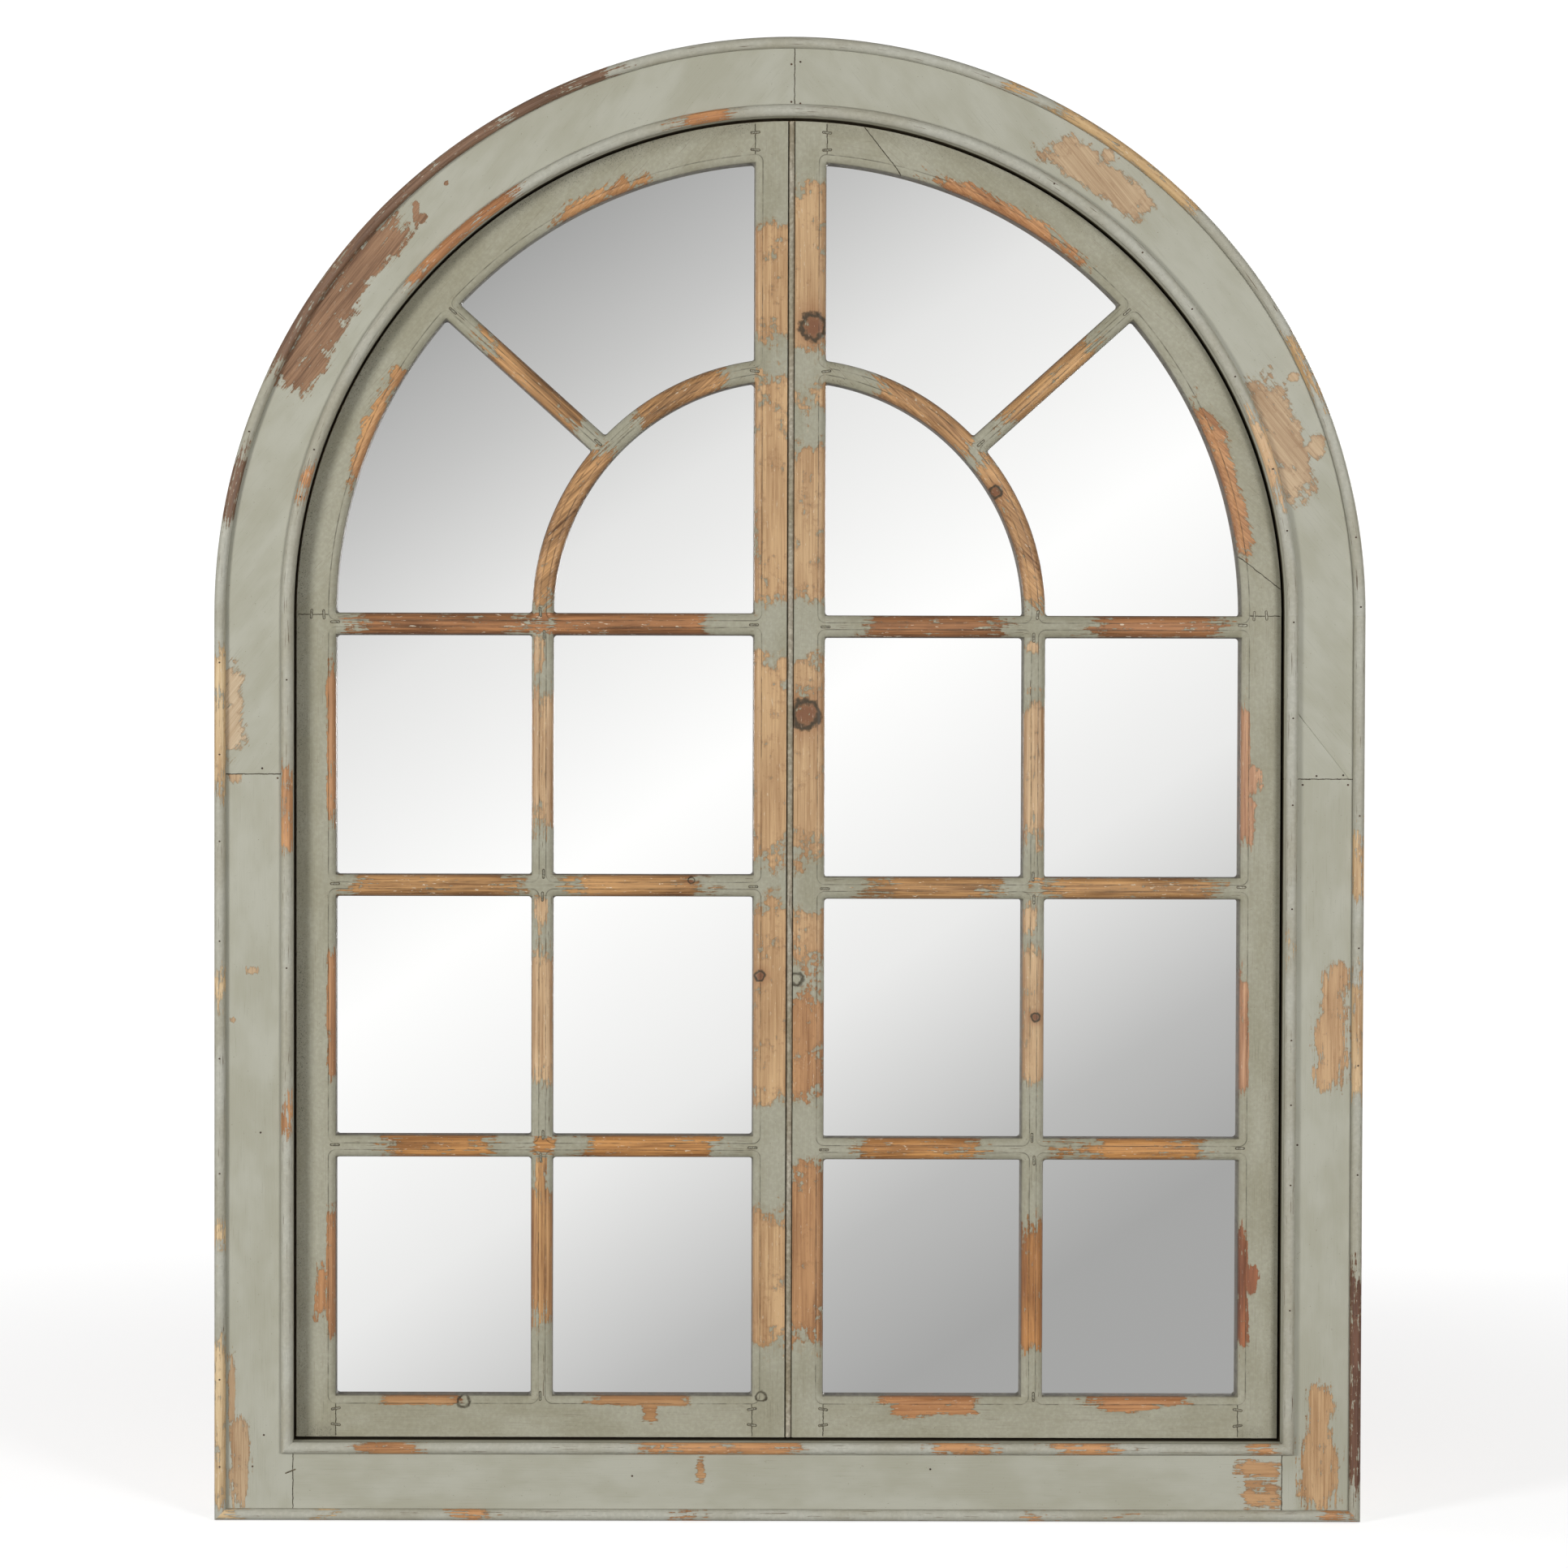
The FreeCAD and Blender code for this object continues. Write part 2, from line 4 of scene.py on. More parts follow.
import bmesh
import bpy
from mathutils import Matrix, Vector


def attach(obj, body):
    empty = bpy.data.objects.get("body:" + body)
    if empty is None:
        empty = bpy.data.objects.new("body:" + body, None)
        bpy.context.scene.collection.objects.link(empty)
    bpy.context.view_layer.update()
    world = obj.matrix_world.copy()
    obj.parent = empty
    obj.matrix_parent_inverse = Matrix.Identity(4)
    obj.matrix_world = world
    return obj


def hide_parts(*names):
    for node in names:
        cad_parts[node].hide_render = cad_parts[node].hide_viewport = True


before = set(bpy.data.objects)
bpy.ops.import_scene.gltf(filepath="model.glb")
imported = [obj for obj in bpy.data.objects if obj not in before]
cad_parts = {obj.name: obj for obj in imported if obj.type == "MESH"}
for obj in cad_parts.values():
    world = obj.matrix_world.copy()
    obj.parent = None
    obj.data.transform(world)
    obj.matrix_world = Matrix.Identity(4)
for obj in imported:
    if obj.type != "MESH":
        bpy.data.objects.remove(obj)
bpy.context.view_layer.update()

# ================================================================ camera
# The photograph is taken from about three metres away, a little left of the middle and with the
# picture plane almost parallel to the mirror. The lens shift keeps the frame central in the view.
CAMERA_PLACE = (-0.159, -3.1192, 0.630)
CAMERA_TILT, CAMERA_ROLL = -1.2, -0.11  # degrees
camera_data = bpy.data.cameras.new("camera")
camera_data.lens = 88.0
camera_data.sensor_width = 36.0
camera_data.shift_x = 0.1219
camera_data.shift_y = 0.0259
camera_data.clip_start = 0.1
camera_data.clip_end = 60.0
camera = bpy.data.objects.new("camera", camera_data)
camera.location = CAMERA_PLACE
camera.rotation_euler = (math.radians(90.0 + CAMERA_TILT), math.radians(CAMERA_ROLL), 0.0)
bpy.context.scene.collection.objects.link(camera)
bpy.context.scene.camera = camera


# ================================================================ casing boards
# Six flat pine boards, an inch thick: two for the arch, a glued-on corner, two stiles and the bottom
# rail. They are butted, glued and pinned, painted sage and rubbed through in a few places.
ARCH_Z = 0.735  # height of the arch's centre
OUTER_R = 0.465
OPENING_R, OPENING_Z = 0.4015, 0.0635
CASING_FRONT_Y = -0.01848
SASH_FRONT_Y = -0.00578

PHOTO_SCALE = 0.000656  # metres per photo pixel on the casing's face
PHOTO_CENTRE_X, PHOTO_BASE_Y = 973.0, 1875.0  # the mirror's middle and foot in the photograph


def photo(px, py):
    """Place on the mirror's front of a spot seen in the photograph."""
    return (px - PHOTO_CENTRE_X) * PHOTO_SCALE, (PHOTO_BASE_Y - py) * PHOTO_SCALE


def box_px(x0, x1, y0, y1):
    """A box of the photograph as (left, right, low, high)."""
    (left, high), (right, low) = photo(x0, y0), photo(x1, y1)
    return left, right, low, high


def line_px(x0, y0, x1, y1):
    return *photo(x0, y0), *photo(x1, y1)


def polar_px(x0, y0, x1, y1):
    """Span of turn from the arch's top between two spots of the photograph, in radians."""
    turns = [math.atan2(x, z - ARCH_Z) for x, z in (photo(x0, y0), photo(x1, y1))]
    return min(turns), max(turns)


def srgb(red, green, blue):
    """Linear colour of an 8-bit one."""
    def linear(c):
        c /= 255.0
        return c / 12.92 if c <= 0.04045 else ((c + 0.055) / 1.055) ** 2.4
    return linear(red), linear(green), linear(blue), 1.0


def feed(tree, value, socket):
    """Sets a socket to a number or colour, or links a node's output into it."""
    value = getattr(value, "socket", value)
    if isinstance(value, bpy.types.NodeSocket):
        tree.links.new(value, socket)
    else:
        socket.default_value = value


class Flow:
    """What comes out of a node. Arithmetic with it adds Math nodes to the same tree."""

    def __init__(self, tree, socket):
        self.tree, self.socket = tree, socket

    def into(self, kind, values, out=0, **settings):
        """A new node of a kind, with values for its inputs by number or name."""
        node = self.tree.nodes.new(kind)
        for name, setting in settings.items():
            setattr(node, name, setting)
        for key, value in values.items():
            feed(self.tree, value, node.inputs[key])
        return Flow(self.tree, node.outputs[out])

    def math(self, operation, *others, clamp=False):
        values = dict(enumerate((self, *others)))
        return self.into("ShaderNodeMath", values, operation=operation, use_clamp=clamp)

    def __add__(self, other):
        return self.math("ADD", other)

    def __sub__(self, other):
        return self.math("SUBTRACT", other)

    def __mul__(self, other):
        return self.math("MULTIPLY", other)

    def most(self, other):
        return self.math("MAXIMUM", other)

    def least(self, other):
        return self.math("MINIMUM", other)

    def clamped(self):
        return self.math("ADD", 0.0, clamp=True)

    def ramp(self, low, high, first=0.0, last=1.0):
        """Goes smoothly from first to last while this value goes from low to high."""
        values = dict(enumerate((self, low, high, first, last)))
        return self.into("ShaderNodeMapRange", values, interpolation_type="SMOOTHSTEP")

    def mix(self, a, b):
        """The colour between a and b, with this value as the share of b."""
        return self.into("ShaderNodeMix", {0: self, 6: a, 7: b}, out=2, data_type="RGBA")

    def stretched(self, *scale):
        return self.into("ShaderNodeVectorMath", {0: self, 1: scale}, operation="MULTIPLY")

    def noise(self, scale, detail=3.0, rough=0.55):
        values = dict(Vector=self, Scale=scale, Detail=detail, Roughness=rough)
        return self.into("ShaderNodeTexNoise", values)

    def split(self):
        node = self.tree.nodes.new("ShaderNodeSeparateXYZ")
        feed(self.tree, self, node.inputs[0])
        return [Flow(self.tree, socket) for socket in node.outputs]


def joined(x, y, z):
    return x.into("ShaderNodeCombineXYZ", {0: x, 1: y, 2: z})


def length(*parts):
    """Length of a vector from its parts."""
    return functools.reduce(Flow.__add__, [part * part for part in parts]).math("SQRT")


def within(value, spans, soft=0.012):
    """Mask of the given spans of a value, each with soft ends."""
    masks = [value.ramp(low - soft, low + soft) * value.ramp(high - soft, high + soft, 1.0, 0.0)
             for low, high in spans]
    return functools.reduce(Flow.most, masks)


def material(name):
    """An empty material, its tree, its Principled shader and the place on the object."""
    mat = bpy.data.materials.new(name)
    mat.use_nodes = True
    tree = mat.node_tree
    tree.nodes.clear()
    out = tree.nodes.new("ShaderNodeOutputMaterial")
    shader = tree.nodes.new("ShaderNodeBsdfPrincipled")
    tree.links.new(shader.outputs[0], out.inputs[0])
    return mat, tree, shader, Flow(tree, tree.nodes.new("ShaderNodeTexCoord").outputs["Object"])


def shaded(tree, shader, height=None, relief=0.0, **inputs):
    """Feeds a shader's inputs by name, and its Normal from a height through a bump."""
    for name, value in inputs.items():
        feed(tree, value, shader.inputs[name.replace("_", " ")])
    if height:
        bump = height.into("ShaderNodeBump", dict(Height=height, Distance=relief))
        feed(tree, bump, shader.inputs["Normal"])


def node_group(name, inputs, outputs):
    """An empty shader group: itself, its inputs in order and its output sockets."""
    group = bpy.data.node_groups.new(name, "ShaderNodeTree")
    for label, value in inputs.items():
        kind = "Vector" if value is None else "Color" if isinstance(value, tuple) else "Float"
        socket = group.interface.new_socket(label, in_out="INPUT", socket_type="NodeSocket" + kind)
        if value is not None:
            socket.default_value = value
    for label in outputs:
        kind = "Color" if label == "Color" else "Float"
        group.interface.new_socket(label, in_out="OUTPUT", socket_type="NodeSocket" + kind)
    given = group.nodes.new("NodeGroupInput").outputs
    made = group.nodes.new("NodeGroupOutput").inputs
    return group, [Flow(group, given[label]) for label in inputs], made


def placed(tree, group, **values):
    """A group put in a material, with its inputs given by name: its outputs by name."""
    node = tree.nodes.new("ShaderNodeGroup")
    node.node_tree = group
    for name, value in values.items():
        feed(tree, value, node.inputs[name.capitalize()])
    return {socket.name: Flow(tree, socket) for socket in node.outputs}


# Pine under the paint, rubbed and waxed: pale earlywood and darker latewood lines along the board, with
# slow drifts between them. Along and Across are distances along and across the board.
pine, given, made = node_group(
    "pine",
    dict(Along=0.0, Across=0.0, Deep=0.0, Pale=srgb(204, 170, 126), Dark=srgb(140, 100, 66), Seed=0.0),
    ["Color", "Height"],
)
along, across, deep, pale, dark, seed = given
grain = joined(along + seed, across, deep)
sway = grain.stretched(7.0, 20.0, 20.0).noise(1.0, 2.0)
rings = ((sway * 0.009 + across) * 1900.0).math("SINE")
lines = grain.stretched(16.0, 780.0, 780.0).noise(1.0, 4.0, 0.66)
fibre = grain.stretched(120.0, 3600.0, 3600.0).noise(1.0, 2.0, 0.6)
drift = grain.stretched(12.0, 75.0, 75.0).noise(1.0, 2.0)
tone = (rings * 0.05 + lines * 1.9 + drift * 1.5 + fibre * 0.5 - 1.63).clamped()
feed(pine, tone.mix(pale, dark), made["Color"])
feed(pine, fibre * 0.5 - tone * 0.6, made["Height"])

# Sage paint, one thin matt coat brushed along each stick, sanded through by hand and waxed. Bare is 0
# where the paint is whole and 1 where it is gone; near a half its edge is broken by noise.
rubbed, given, made = node_group(
    "rubbed_paint",
    dict(Along=0.0, Across=0.0, Deep=0.0, Seed=0.0, Bare=0.0, Streak=0.35, Paint=srgb(172, 172, 155),
         Dusk=srgb(150, 148, 125), Pine=srgb(190, 140, 90), Relief=0.0, Dirt=0.0, Glaze=0.0, Soot=0.0,
         Hair=0.05, Chip=0.12),
    ["Color", "Roughness", "Height"],
)
along, across, deep, seed, bare, streak, sage, dusk, timber, relief, dirt, glaze, soot, hair, chip = given
spot = joined(along + seed, across, deep)
islands = spot.noise(55.0, 2.0, 0.5)
blotch = spot.noise(190.0, 5.0, 0.66)
strokes = spot.stretched(45.0, 620.0, 620.0).noise(1.0, 4.0, 0.62)
edge = (islands - 0.5) * 1.3 + bare + (blotch - 0.5) * 1.25 + (strokes - 0.5) * (streak * 2.6)
edge = edge + bare.ramp(0.0, 0.10, -0.6, 0.0)
gone = edge.ramp(0.47, 0.53)
rim = (edge.ramp(0.30, 0.50) - edge.ramp(0.52, 0.74)) * 0.34
brush = spot.stretched(26.0, 1300.0, 1300.0).noise(1.0, 2.0, 0.6)
coat = spot.stretched(14.0, 30.0, 30.0).noise(1.0, 3.0, 0.6).ramp(0.32, 0.68).mix(dusk, sage)
coat = (brush * 0.30 - 0.10).clamped().mix(coat, srgb(190, 190, 176))
coat = (dirt * spot.noise(320.0, 3.0, 0.6).ramp(0.30, 0.62)).mix(coat, srgb(74, 66, 46))
coat = spot.noise(620.0, 2.0, 0.6).ramp(0.71, 0.76, 0.0, 0.55).mix(coat, srgb(92, 80, 58))
coat = rim.mix(coat, srgb(150, 128, 92))
hairs = spot.stretched(34.0, 1150.0, 1150.0).noise(1.0, 3.0, 0.6).ramp(0.625, 0.67)
coat = (hairs * islands.ramp(0.38, 0.55, 0.25, 1.0) * hair).mix(coat, srgb(84, 66, 44))
shown = gone.mix(coat, rim.mix(timber, srgb(134, 92, 58)))
flakes = spot.stretched(150.0, 640.0, 640.0).noise(1.0, 3.0, 0.6).ramp(0.655, 0.69)
shown = (flakes * edge.ramp(0.15, 0.45) * chip).mix(shown, srgb(226, 214, 190))
# Painted shade in hollows, together with real dark marks (glazing, knot rings, cracks), darkens the colour towards
# dark brown.
shown = (glaze * (blotch * 0.9 + 0.42).clamped()).mix(shown, srgb(58, 50, 34))
# A painted shadow band, speckled with dark grime dots, darkens the colour towards near-black.
dots = spot.noise(900.0, 2.0, 0.7).ramp(0.56, 0.66)
feed(rubbed, (soot * (dots * 0.72 + 0.32)).mix(shown, srgb(52, 46, 34)), made["Color"])
feed(rubbed, gone.ramp(0.0, 1.0, 0.56, 0.48), made["Roughness"])
feed(rubbed, brush * 0.22 + relief * 0.45 - gone + 1.0, made["Height"])

PATCH_SOFT = 0.010


def painted_wood(name, grain, along="x", spans=(), soft=0.022, patches=(), rims=(), rounds=(), panes=(),
                 knots=(), cracks=(), paint_tone=(178, 177, 162), dusk=(166, 164, 146), pale=(198, 172, 138),
                 dark=(150, 116, 82), tints=None, seed=0.0, worn=0.92, base=0.0, glaze=None, opening_shade=False,
                 soot=0.0, bent=False, **wear):
    """Painted pine for one stick, in the frame's metres. grain is the angle of its grain above X in degrees,
    and bent grain follows the arch. spans are bare stretches along 'x', 'z', 'turn' (radians clockwise from
    the arch's top) or 'radius'. patches are bare boxes (x0, x1, z0, z1) and rims bare bands (turn0, turn1,
    r0, r1) on the arch. panes are the distance groups of the panes beside it, and rounds the spans of height
    or width where their quarter rounds are bare. glaze is two depths between which a hollow darkens:
    painted shade in the crease, with some dark glazing. opening_shade paints shade on the deep part of the
    opening's side, and soot paints a shadow band beside the opening, speckled with grime.
    cracks are thin dark lines (x0, z0, x1, z1). tints are a second pale and dark that take over along an
    axis. base is what is bare all over, and wear holds the paint group's dirt, streak, hair and chip."""
    mat, tree, shader, place = material(name)
    x, y, z = place.split()
    up = z - ARCH_Z
    flat = joined(x, 0.0, z)
    turn, radius = x.math("ARCTAN2", up), length(x, up)
    lean = math.radians(grain)
    lengthwise = x * math.cos(lean) + z * math.sin(lean)
    crosswise = z * math.cos(lean) - x * math.sin(lean)
    if bent:
        lengthwise, crosswise = turn * OPENING_R, radius
    if panes:
        gap = functools.reduce(Flow.least, [placed(tree, group, place=place)["Distance"] for group in panes])

    masks = []
    if spans:
        masks.append(within(dict(x=x, z=z, turn=turn, radius=radius)[along], spans, soft))
    for x0, x1, z0, z1 in patches:
        masks.append(within(x, [(x0, x1)], min(PATCH_SOFT, 0.4 * (x1 - x0)))
                     * within(z, [(z0, z1)], min(1.4 * PATCH_SOFT, 0.4 * (z1 - z0))))
    for turn0, turn1, r0, r1 in rims:
        masks.append(within(turn, [(turn0, turn1)], 0.06) * within(radius, [(r0, r1)], 0.007))
    if rounds:
        masks.append(within(x if grain == 0.0 else z, rounds, 0.018)
                     * gap.ramp(ROUND_R - 0.001, ROUND_R + 0.0035, 1.0, 0.0))
    bare = functools.reduce(Flow.most, masks) * worn if masks else base

    pale, dark = srgb(*pale), srgb(*dark)
    if tints:
        second_pale, second_dark, axis, low, high = tints
        side = dict(x=x, z=z)[axis].ramp(low, high)
        pale, dark = side.mix(pale, srgb(*second_pale)), side.mix(dark, srgb(*second_dark))
    wood = placed(tree, pine, along=lengthwise, across=crosswise, deep=y, pale=pale, dark=dark, seed=seed)
    timber = wood["Color"]
    # One mask of dark marks and painted shade: the deep crease (painted shade, with some glazing), knot rings, quirk
    # dirt, the pane-edge line and the opening's deep side (painted shade), and joint cracks.
    marks_and_shade = [y.ramp(*glaze)] if glaze else []
    for knot_x, knot_z, size in knots:
        away = length(x - knot_x, z - knot_z) + flat.noise(170.0) * (size * 1.3)
        timber = away.ramp(size * 1.1, size * 4.2, 0.6, 0.0).mix(timber, srgb(142, 94, 60))
        timber = away.ramp(size * 1.2, size * 1.8, 0.85, 0.0).mix(timber, srgb(116, 74, 50))
        bark = away.ramp(size * 1.35, size * 1.7) * away.ramp(size * 1.8, size * 2.2, 0.7, 0.0)
        timber = bark.mix(timber, srgb(62, 42, 30))
        marks_and_shade.append(bark * 1.4)
    if panes:
        # Painted shade on the quarter rounds: the bare wood darkens towards the pane's edge.
        timber = gap.ramp(0.0, 0.0046, 0.55, 0.0).mix(timber, dark)
        faint = flat.noise(70.0, 3.0, 0.6).ramp(0.36, 0.62, 0.12, 0.75)
        # The thin quirk line at the top of the round is dirt. The dark line right at the pane's edge is a painted
        # shadow.
        quirk = (gap - (ROUND_R - 0.0001)).math("ABSOLUTE")
        marks_and_shade += [quirk.ramp(0.00010, 0.00065, 1.0, 0.0) * faint, gap.ramp(0.0001, 0.0011, 0.8, 0.0)]
    if opening_shade or soot:
        inward = (length(x, up.most(0.0)) * -1.0 + OPENING_R).least(z - OPENING_Z)
    # Painted shade on the deep part of the opening's side, next to the sash.
    if opening_shade:
        marks_and_shade.append(inward.ramp(-0.0012, -0.0004, 0.0, 1.6)
                       * y.ramp(SASH_FRONT_Y - 0.0055, SASH_FRONT_Y - 0.0015))
    # Painted shadow cast by the casing's lip: a mottled band on the sash beside the opening, fading out within about
    # 17 mm.
    if soot:
        soot = inward.ramp(0.0035, 0.017, soot, 0.0) * flat.noise(11.0).ramp(0.30, 0.62, 0.5, 1.0)
    for x0, z0, x1, z1 in cracks:
        reach = math.hypot(x1 - x0, z1 - z0)
        ux, uz = (x1 - x0) / reach, (z1 - z0) / reach
        run = x * ux + z * uz - (x0 * ux + z0 * uz)
        off = z * ux - x * uz + (x0 * uz - z0 * ux) + (flat.noise(260.0, 3.0, 0.6) - 0.5) * 0.0016
        line = off.math("ABSOLUTE").ramp(0.00018, 0.00052, 1.33, 0.0)
        marks_and_shade.append(line * within(run, [(0.0, reach)], 0.001))
    glazed = functools.reduce(Flow.most, marks_and_shade) if marks_and_shade else 0.0

    coat = placed(tree, rubbed, along=lengthwise, across=crosswise, deep=y, seed=seed, bare=bare,
                  paint=srgb(*paint_tone), dusk=srgb(*dusk), pine=timber, relief=wood["Height"],
                  glaze=glazed, soot=soot, **wear)
    shaded(tree, shader, coat["Height"], 0.00020, Base_Color=coat["Color"], Roughness=coat["Roughness"],
           Specular_IOR_Level=0.30)
    return mat


def clothed(piece, mat):
    piece.data.materials.clear()
    piece.data.materials.append(mat)


smooth_group = bpy.data.node_groups.new("smooth_by_angle", "GeometryNodeTree")
for way in ("INPUT", "OUTPUT"):
    smooth_group.interface.new_socket("Geometry", in_out=way, socket_type="NodeSocketGeometry")
solid = Flow(smooth_group, smooth_group.nodes.new("NodeGroupInput").outputs[0])
bend = Flow(smooth_group, smooth_group.nodes.new("GeometryNodeInputMeshEdgeAngle").outputs[0])
steep = bend.math("GREATER_THAN", math.radians(30.0))
solid = solid.into("GeometryNodeSetShadeSmooth", {0: solid})
solid = solid.into("GeometryNodeSetShadeSmooth", {0: solid, "Selection": steep, "Shade Smooth": False}, domain="EDGE")
feed(smooth_group, solid, smooth_group.nodes.new("NodeGroupOutput").inputs[0])


def smoothed(piece):
    """Smooth shading over shallow edges, by modifiers, so that the mesh itself stays as it is."""
    weld = piece.modifiers.new("weld", "WELD")
    weld.merge_threshold = 0.00002
    piece.modifiers.new("smooth_by_angle", "NODES").node_group = smooth_group


def eased(piece, width):
    """Worn arrises: a small round along every sharp edge."""
    smoothed(piece)
    bevel = piece.modifiers.new("eased", "BEVEL")
    bevel.width = width
    bevel.segments = 3
    bevel.limit_method = "ANGLE"
    bevel.angle_limit = math.radians(40.0)
    bevel.harden_normals = True


BROWN = ((164, 128, 98), (82, 54, 38), "z", 0.78, 0.84)
TOP_SEAM_X, LEFT_SEAM_Z, RIGHT_SEAM_Z = 0.0026, 0.6055, 0.6029
SEAM_END = 0.009  # a seam stops where the beads cover it
top_seam = (TOP_SEAM_X, OPENING_R + ARCH_Z + 0.008, TOP_SEAM_X, OUTER_R + ARCH_Z - 0.008)
left_seam = (SEAM_END - OUTER_R, LEFT_SEAM_Z, -OPENING_R - SEAM_END, LEFT_SEAM_Z)
right_seam = (OPENING_R + SEAM_END, RIGHT_SEAM_Z, OUTER_R - SEAM_END, RIGHT_SEAM_Z)
left_foot = (-OPENING_R, SEAM_END, -OPENING_R, OPENING_Z - SEAM_END)
right_foot = (OPENING_R, SEAM_END, OPENING_R, OPENING_Z - SEAM_END)
CASING = {
    "casing_arch_left": dict(
        grain=52.0, streak=0.55, worn=0.86, hair=0.14, cracks=[left_seam, top_seam],
        rims=[(*polar_px(350, 476, 424, 368), 0.425, OUTER_R - 0.0095),
              (*polar_px(392, 408, 512, 292), 0.431, OUTER_R - 0.0085)],
        patches=[box_px(410, 455, 320, 360), box_px(508, 516, 250, 278), box_px(514, 526, 262, 276),
                 box_px(546, 552, 222, 228), box_px(330, 344, 455, 478), box_px(270, 300, 818, 930)],
        pale=(204, 184, 154), dark=(172, 144, 112), tints=BROWN),
    "casing_arch_right": dict(
        grain=-50.0, worn=0.86, hair=0.12, cracks=[top_seam, right_seam],
        rims=[(*polar_px(1292, 166, 1420, 248), 0.419, 0.447), (*polar_px(1556, 462, 1614, 606), 0.409, 0.438)],
        patches=[box_px(1352, 1372, 180, 205), box_px(1585, 1600, 456, 466), box_px(1610, 1632, 530, 560)]),
    "casing_arch_corner": dict(grain=-50.0, cracks=[line_px(1602, 878, 1660, 948), right_seam]),
    "casing_stile_left": dict(
        grain=90.0, streak=0.75, hair=0.14, cracks=[left_seam, left_foot],
        patches=[box_px(281, 298, 948, 962), box_px(305, 318, 1190, 1199), box_px(283, 292, 1252, 1260),
                 box_px(281, 290, 1674, 1752), box_px(283, 306, 1750, 1856)]),
    "casing_stile_right": dict(
        grain=90.0, streak=0.75, hair=0.14, cracks=[right_seam, right_foot],
        patches=[box_px(1630, 1662, 1192, 1260), box_px(1624, 1662, 1240, 1335), box_px(1618, 1648, 1706, 1790),
                 box_px(1606, 1656, 1775, 1858)],
        pale=(200, 164, 122), dark=(142, 100, 60)),
    "casing_bottom_rail": dict(
        grain=0.0, streak=0.7, hair=0.12, cracks=[left_foot, right_foot],
        patches=[box_px(1535, 1582, 1822, 1854), box_px(1533, 1580, 1800, 1820), box_px(860, 872, 1800, 1826)],
        pale=(194, 152, 108), dark=(146, 104, 66)),
}
for number, (node, look) in enumerate(CASING.items()):
    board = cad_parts[node]
    # Each board gets painted shade on the deep part of the opening's side.
    clothed(board, painted_wood(node + "_paint", seed=number * 3.7, opening_shade=True, **look))
    eased(board, 0.0005)


# ================================================================ beads
# Half-round pine beads, pinned along the outer edge and round the opening. Their rounded tops are
# rubbed the most, so long stretches show bare pine and the lower sides keep their paint.
BEAD_H, OUTER_BEAD_W, INNER_BEAD_W = 0.006, 0.0092, 0.0095
BEAD_STEPS, ARCH_STEPS = 12, 144  # flats over a bead's round, and along half a turn
OUTER_MID = OUTER_R - OUTER_BEAD_W / 2
INNER_MID = OPENING_R + INNER_BEAD_W / 2


def smooth(mesh, degrees):
    mesh.polygons.foreach_set("use_smooth", [True] * len(mesh.polygons))
    mesh.set_sharp_from_angle(angle=math.radians(degrees))


def skin(name, loops, degrees):
    """Closed mesh over a row of like loops of points, smooth up to an angle (or left flat)."""
    bm = bmesh.new()
    rows = [[bm.verts.new(point) for point in loop] for loop in loops]
    count = len(rows[0])
    for a, b in zip(rows, rows[1:]):
        for i in range(count):
            j = (i + 1) % count
            bm.faces.new((a[i], a[j], b[j], b[i]))
    bm.faces.new(rows[0])
    bm.faces.new(reversed(rows[-1]))
    bmesh.ops.recalc_face_normals(bm, faces=bm.faces)
    mesh = bpy.data.meshes.new(name)
    bm.to_mesh(mesh)
    bm.free()
    if degrees:
        smooth(mesh, degrees)
    return mesh


def arch_bead(name, middle, width):
    """A half-round bead round the arch, with its flat side on the casing."""
    radius = width / 2
    turns = [math.pi * step / BEAD_STEPS for step in range(BEAD_STEPS + 1)]
    shape = [(-radius, 0.0)]
    shape += [(-radius * math.cos(turn), BEAD_H - radius + radius * math.sin(turn)) for turn in turns]
    shape.append((radius, 0.0))
    loops = []
    for step in range(ARCH_STEPS + 1):
        turn = math.pi * step / ARCH_STEPS
        loops.append([((middle + across) * math.cos(turn), CASING_FRONT_Y - out,
                       ARCH_Z + (middle + across) * math.sin(turn)) for across, out in shape])
    return skin(name, loops, 35.0)


def new_piece(name, mesh, mat, node=None):
    """Links a mesh as a piece of the fixed frame and the node that it stands for."""
    piece = bpy.data.objects.new(name, mesh)
    bpy.context.scene.collection.objects.link(piece)
    clothed(piece, mat)
    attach(piece, "frame")
    if node:
        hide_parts(node)
    return piece


def span_x(*edges):
    return [(photo(a, 0)[0], photo(b, 0)[0]) for a, b in zip(edges[::2], edges[1::2])]


def span_z(*edges):
    return [(photo(0, b)[1], photo(0, a)[1]) for a, b in zip(edges[::2], edges[1::2])]


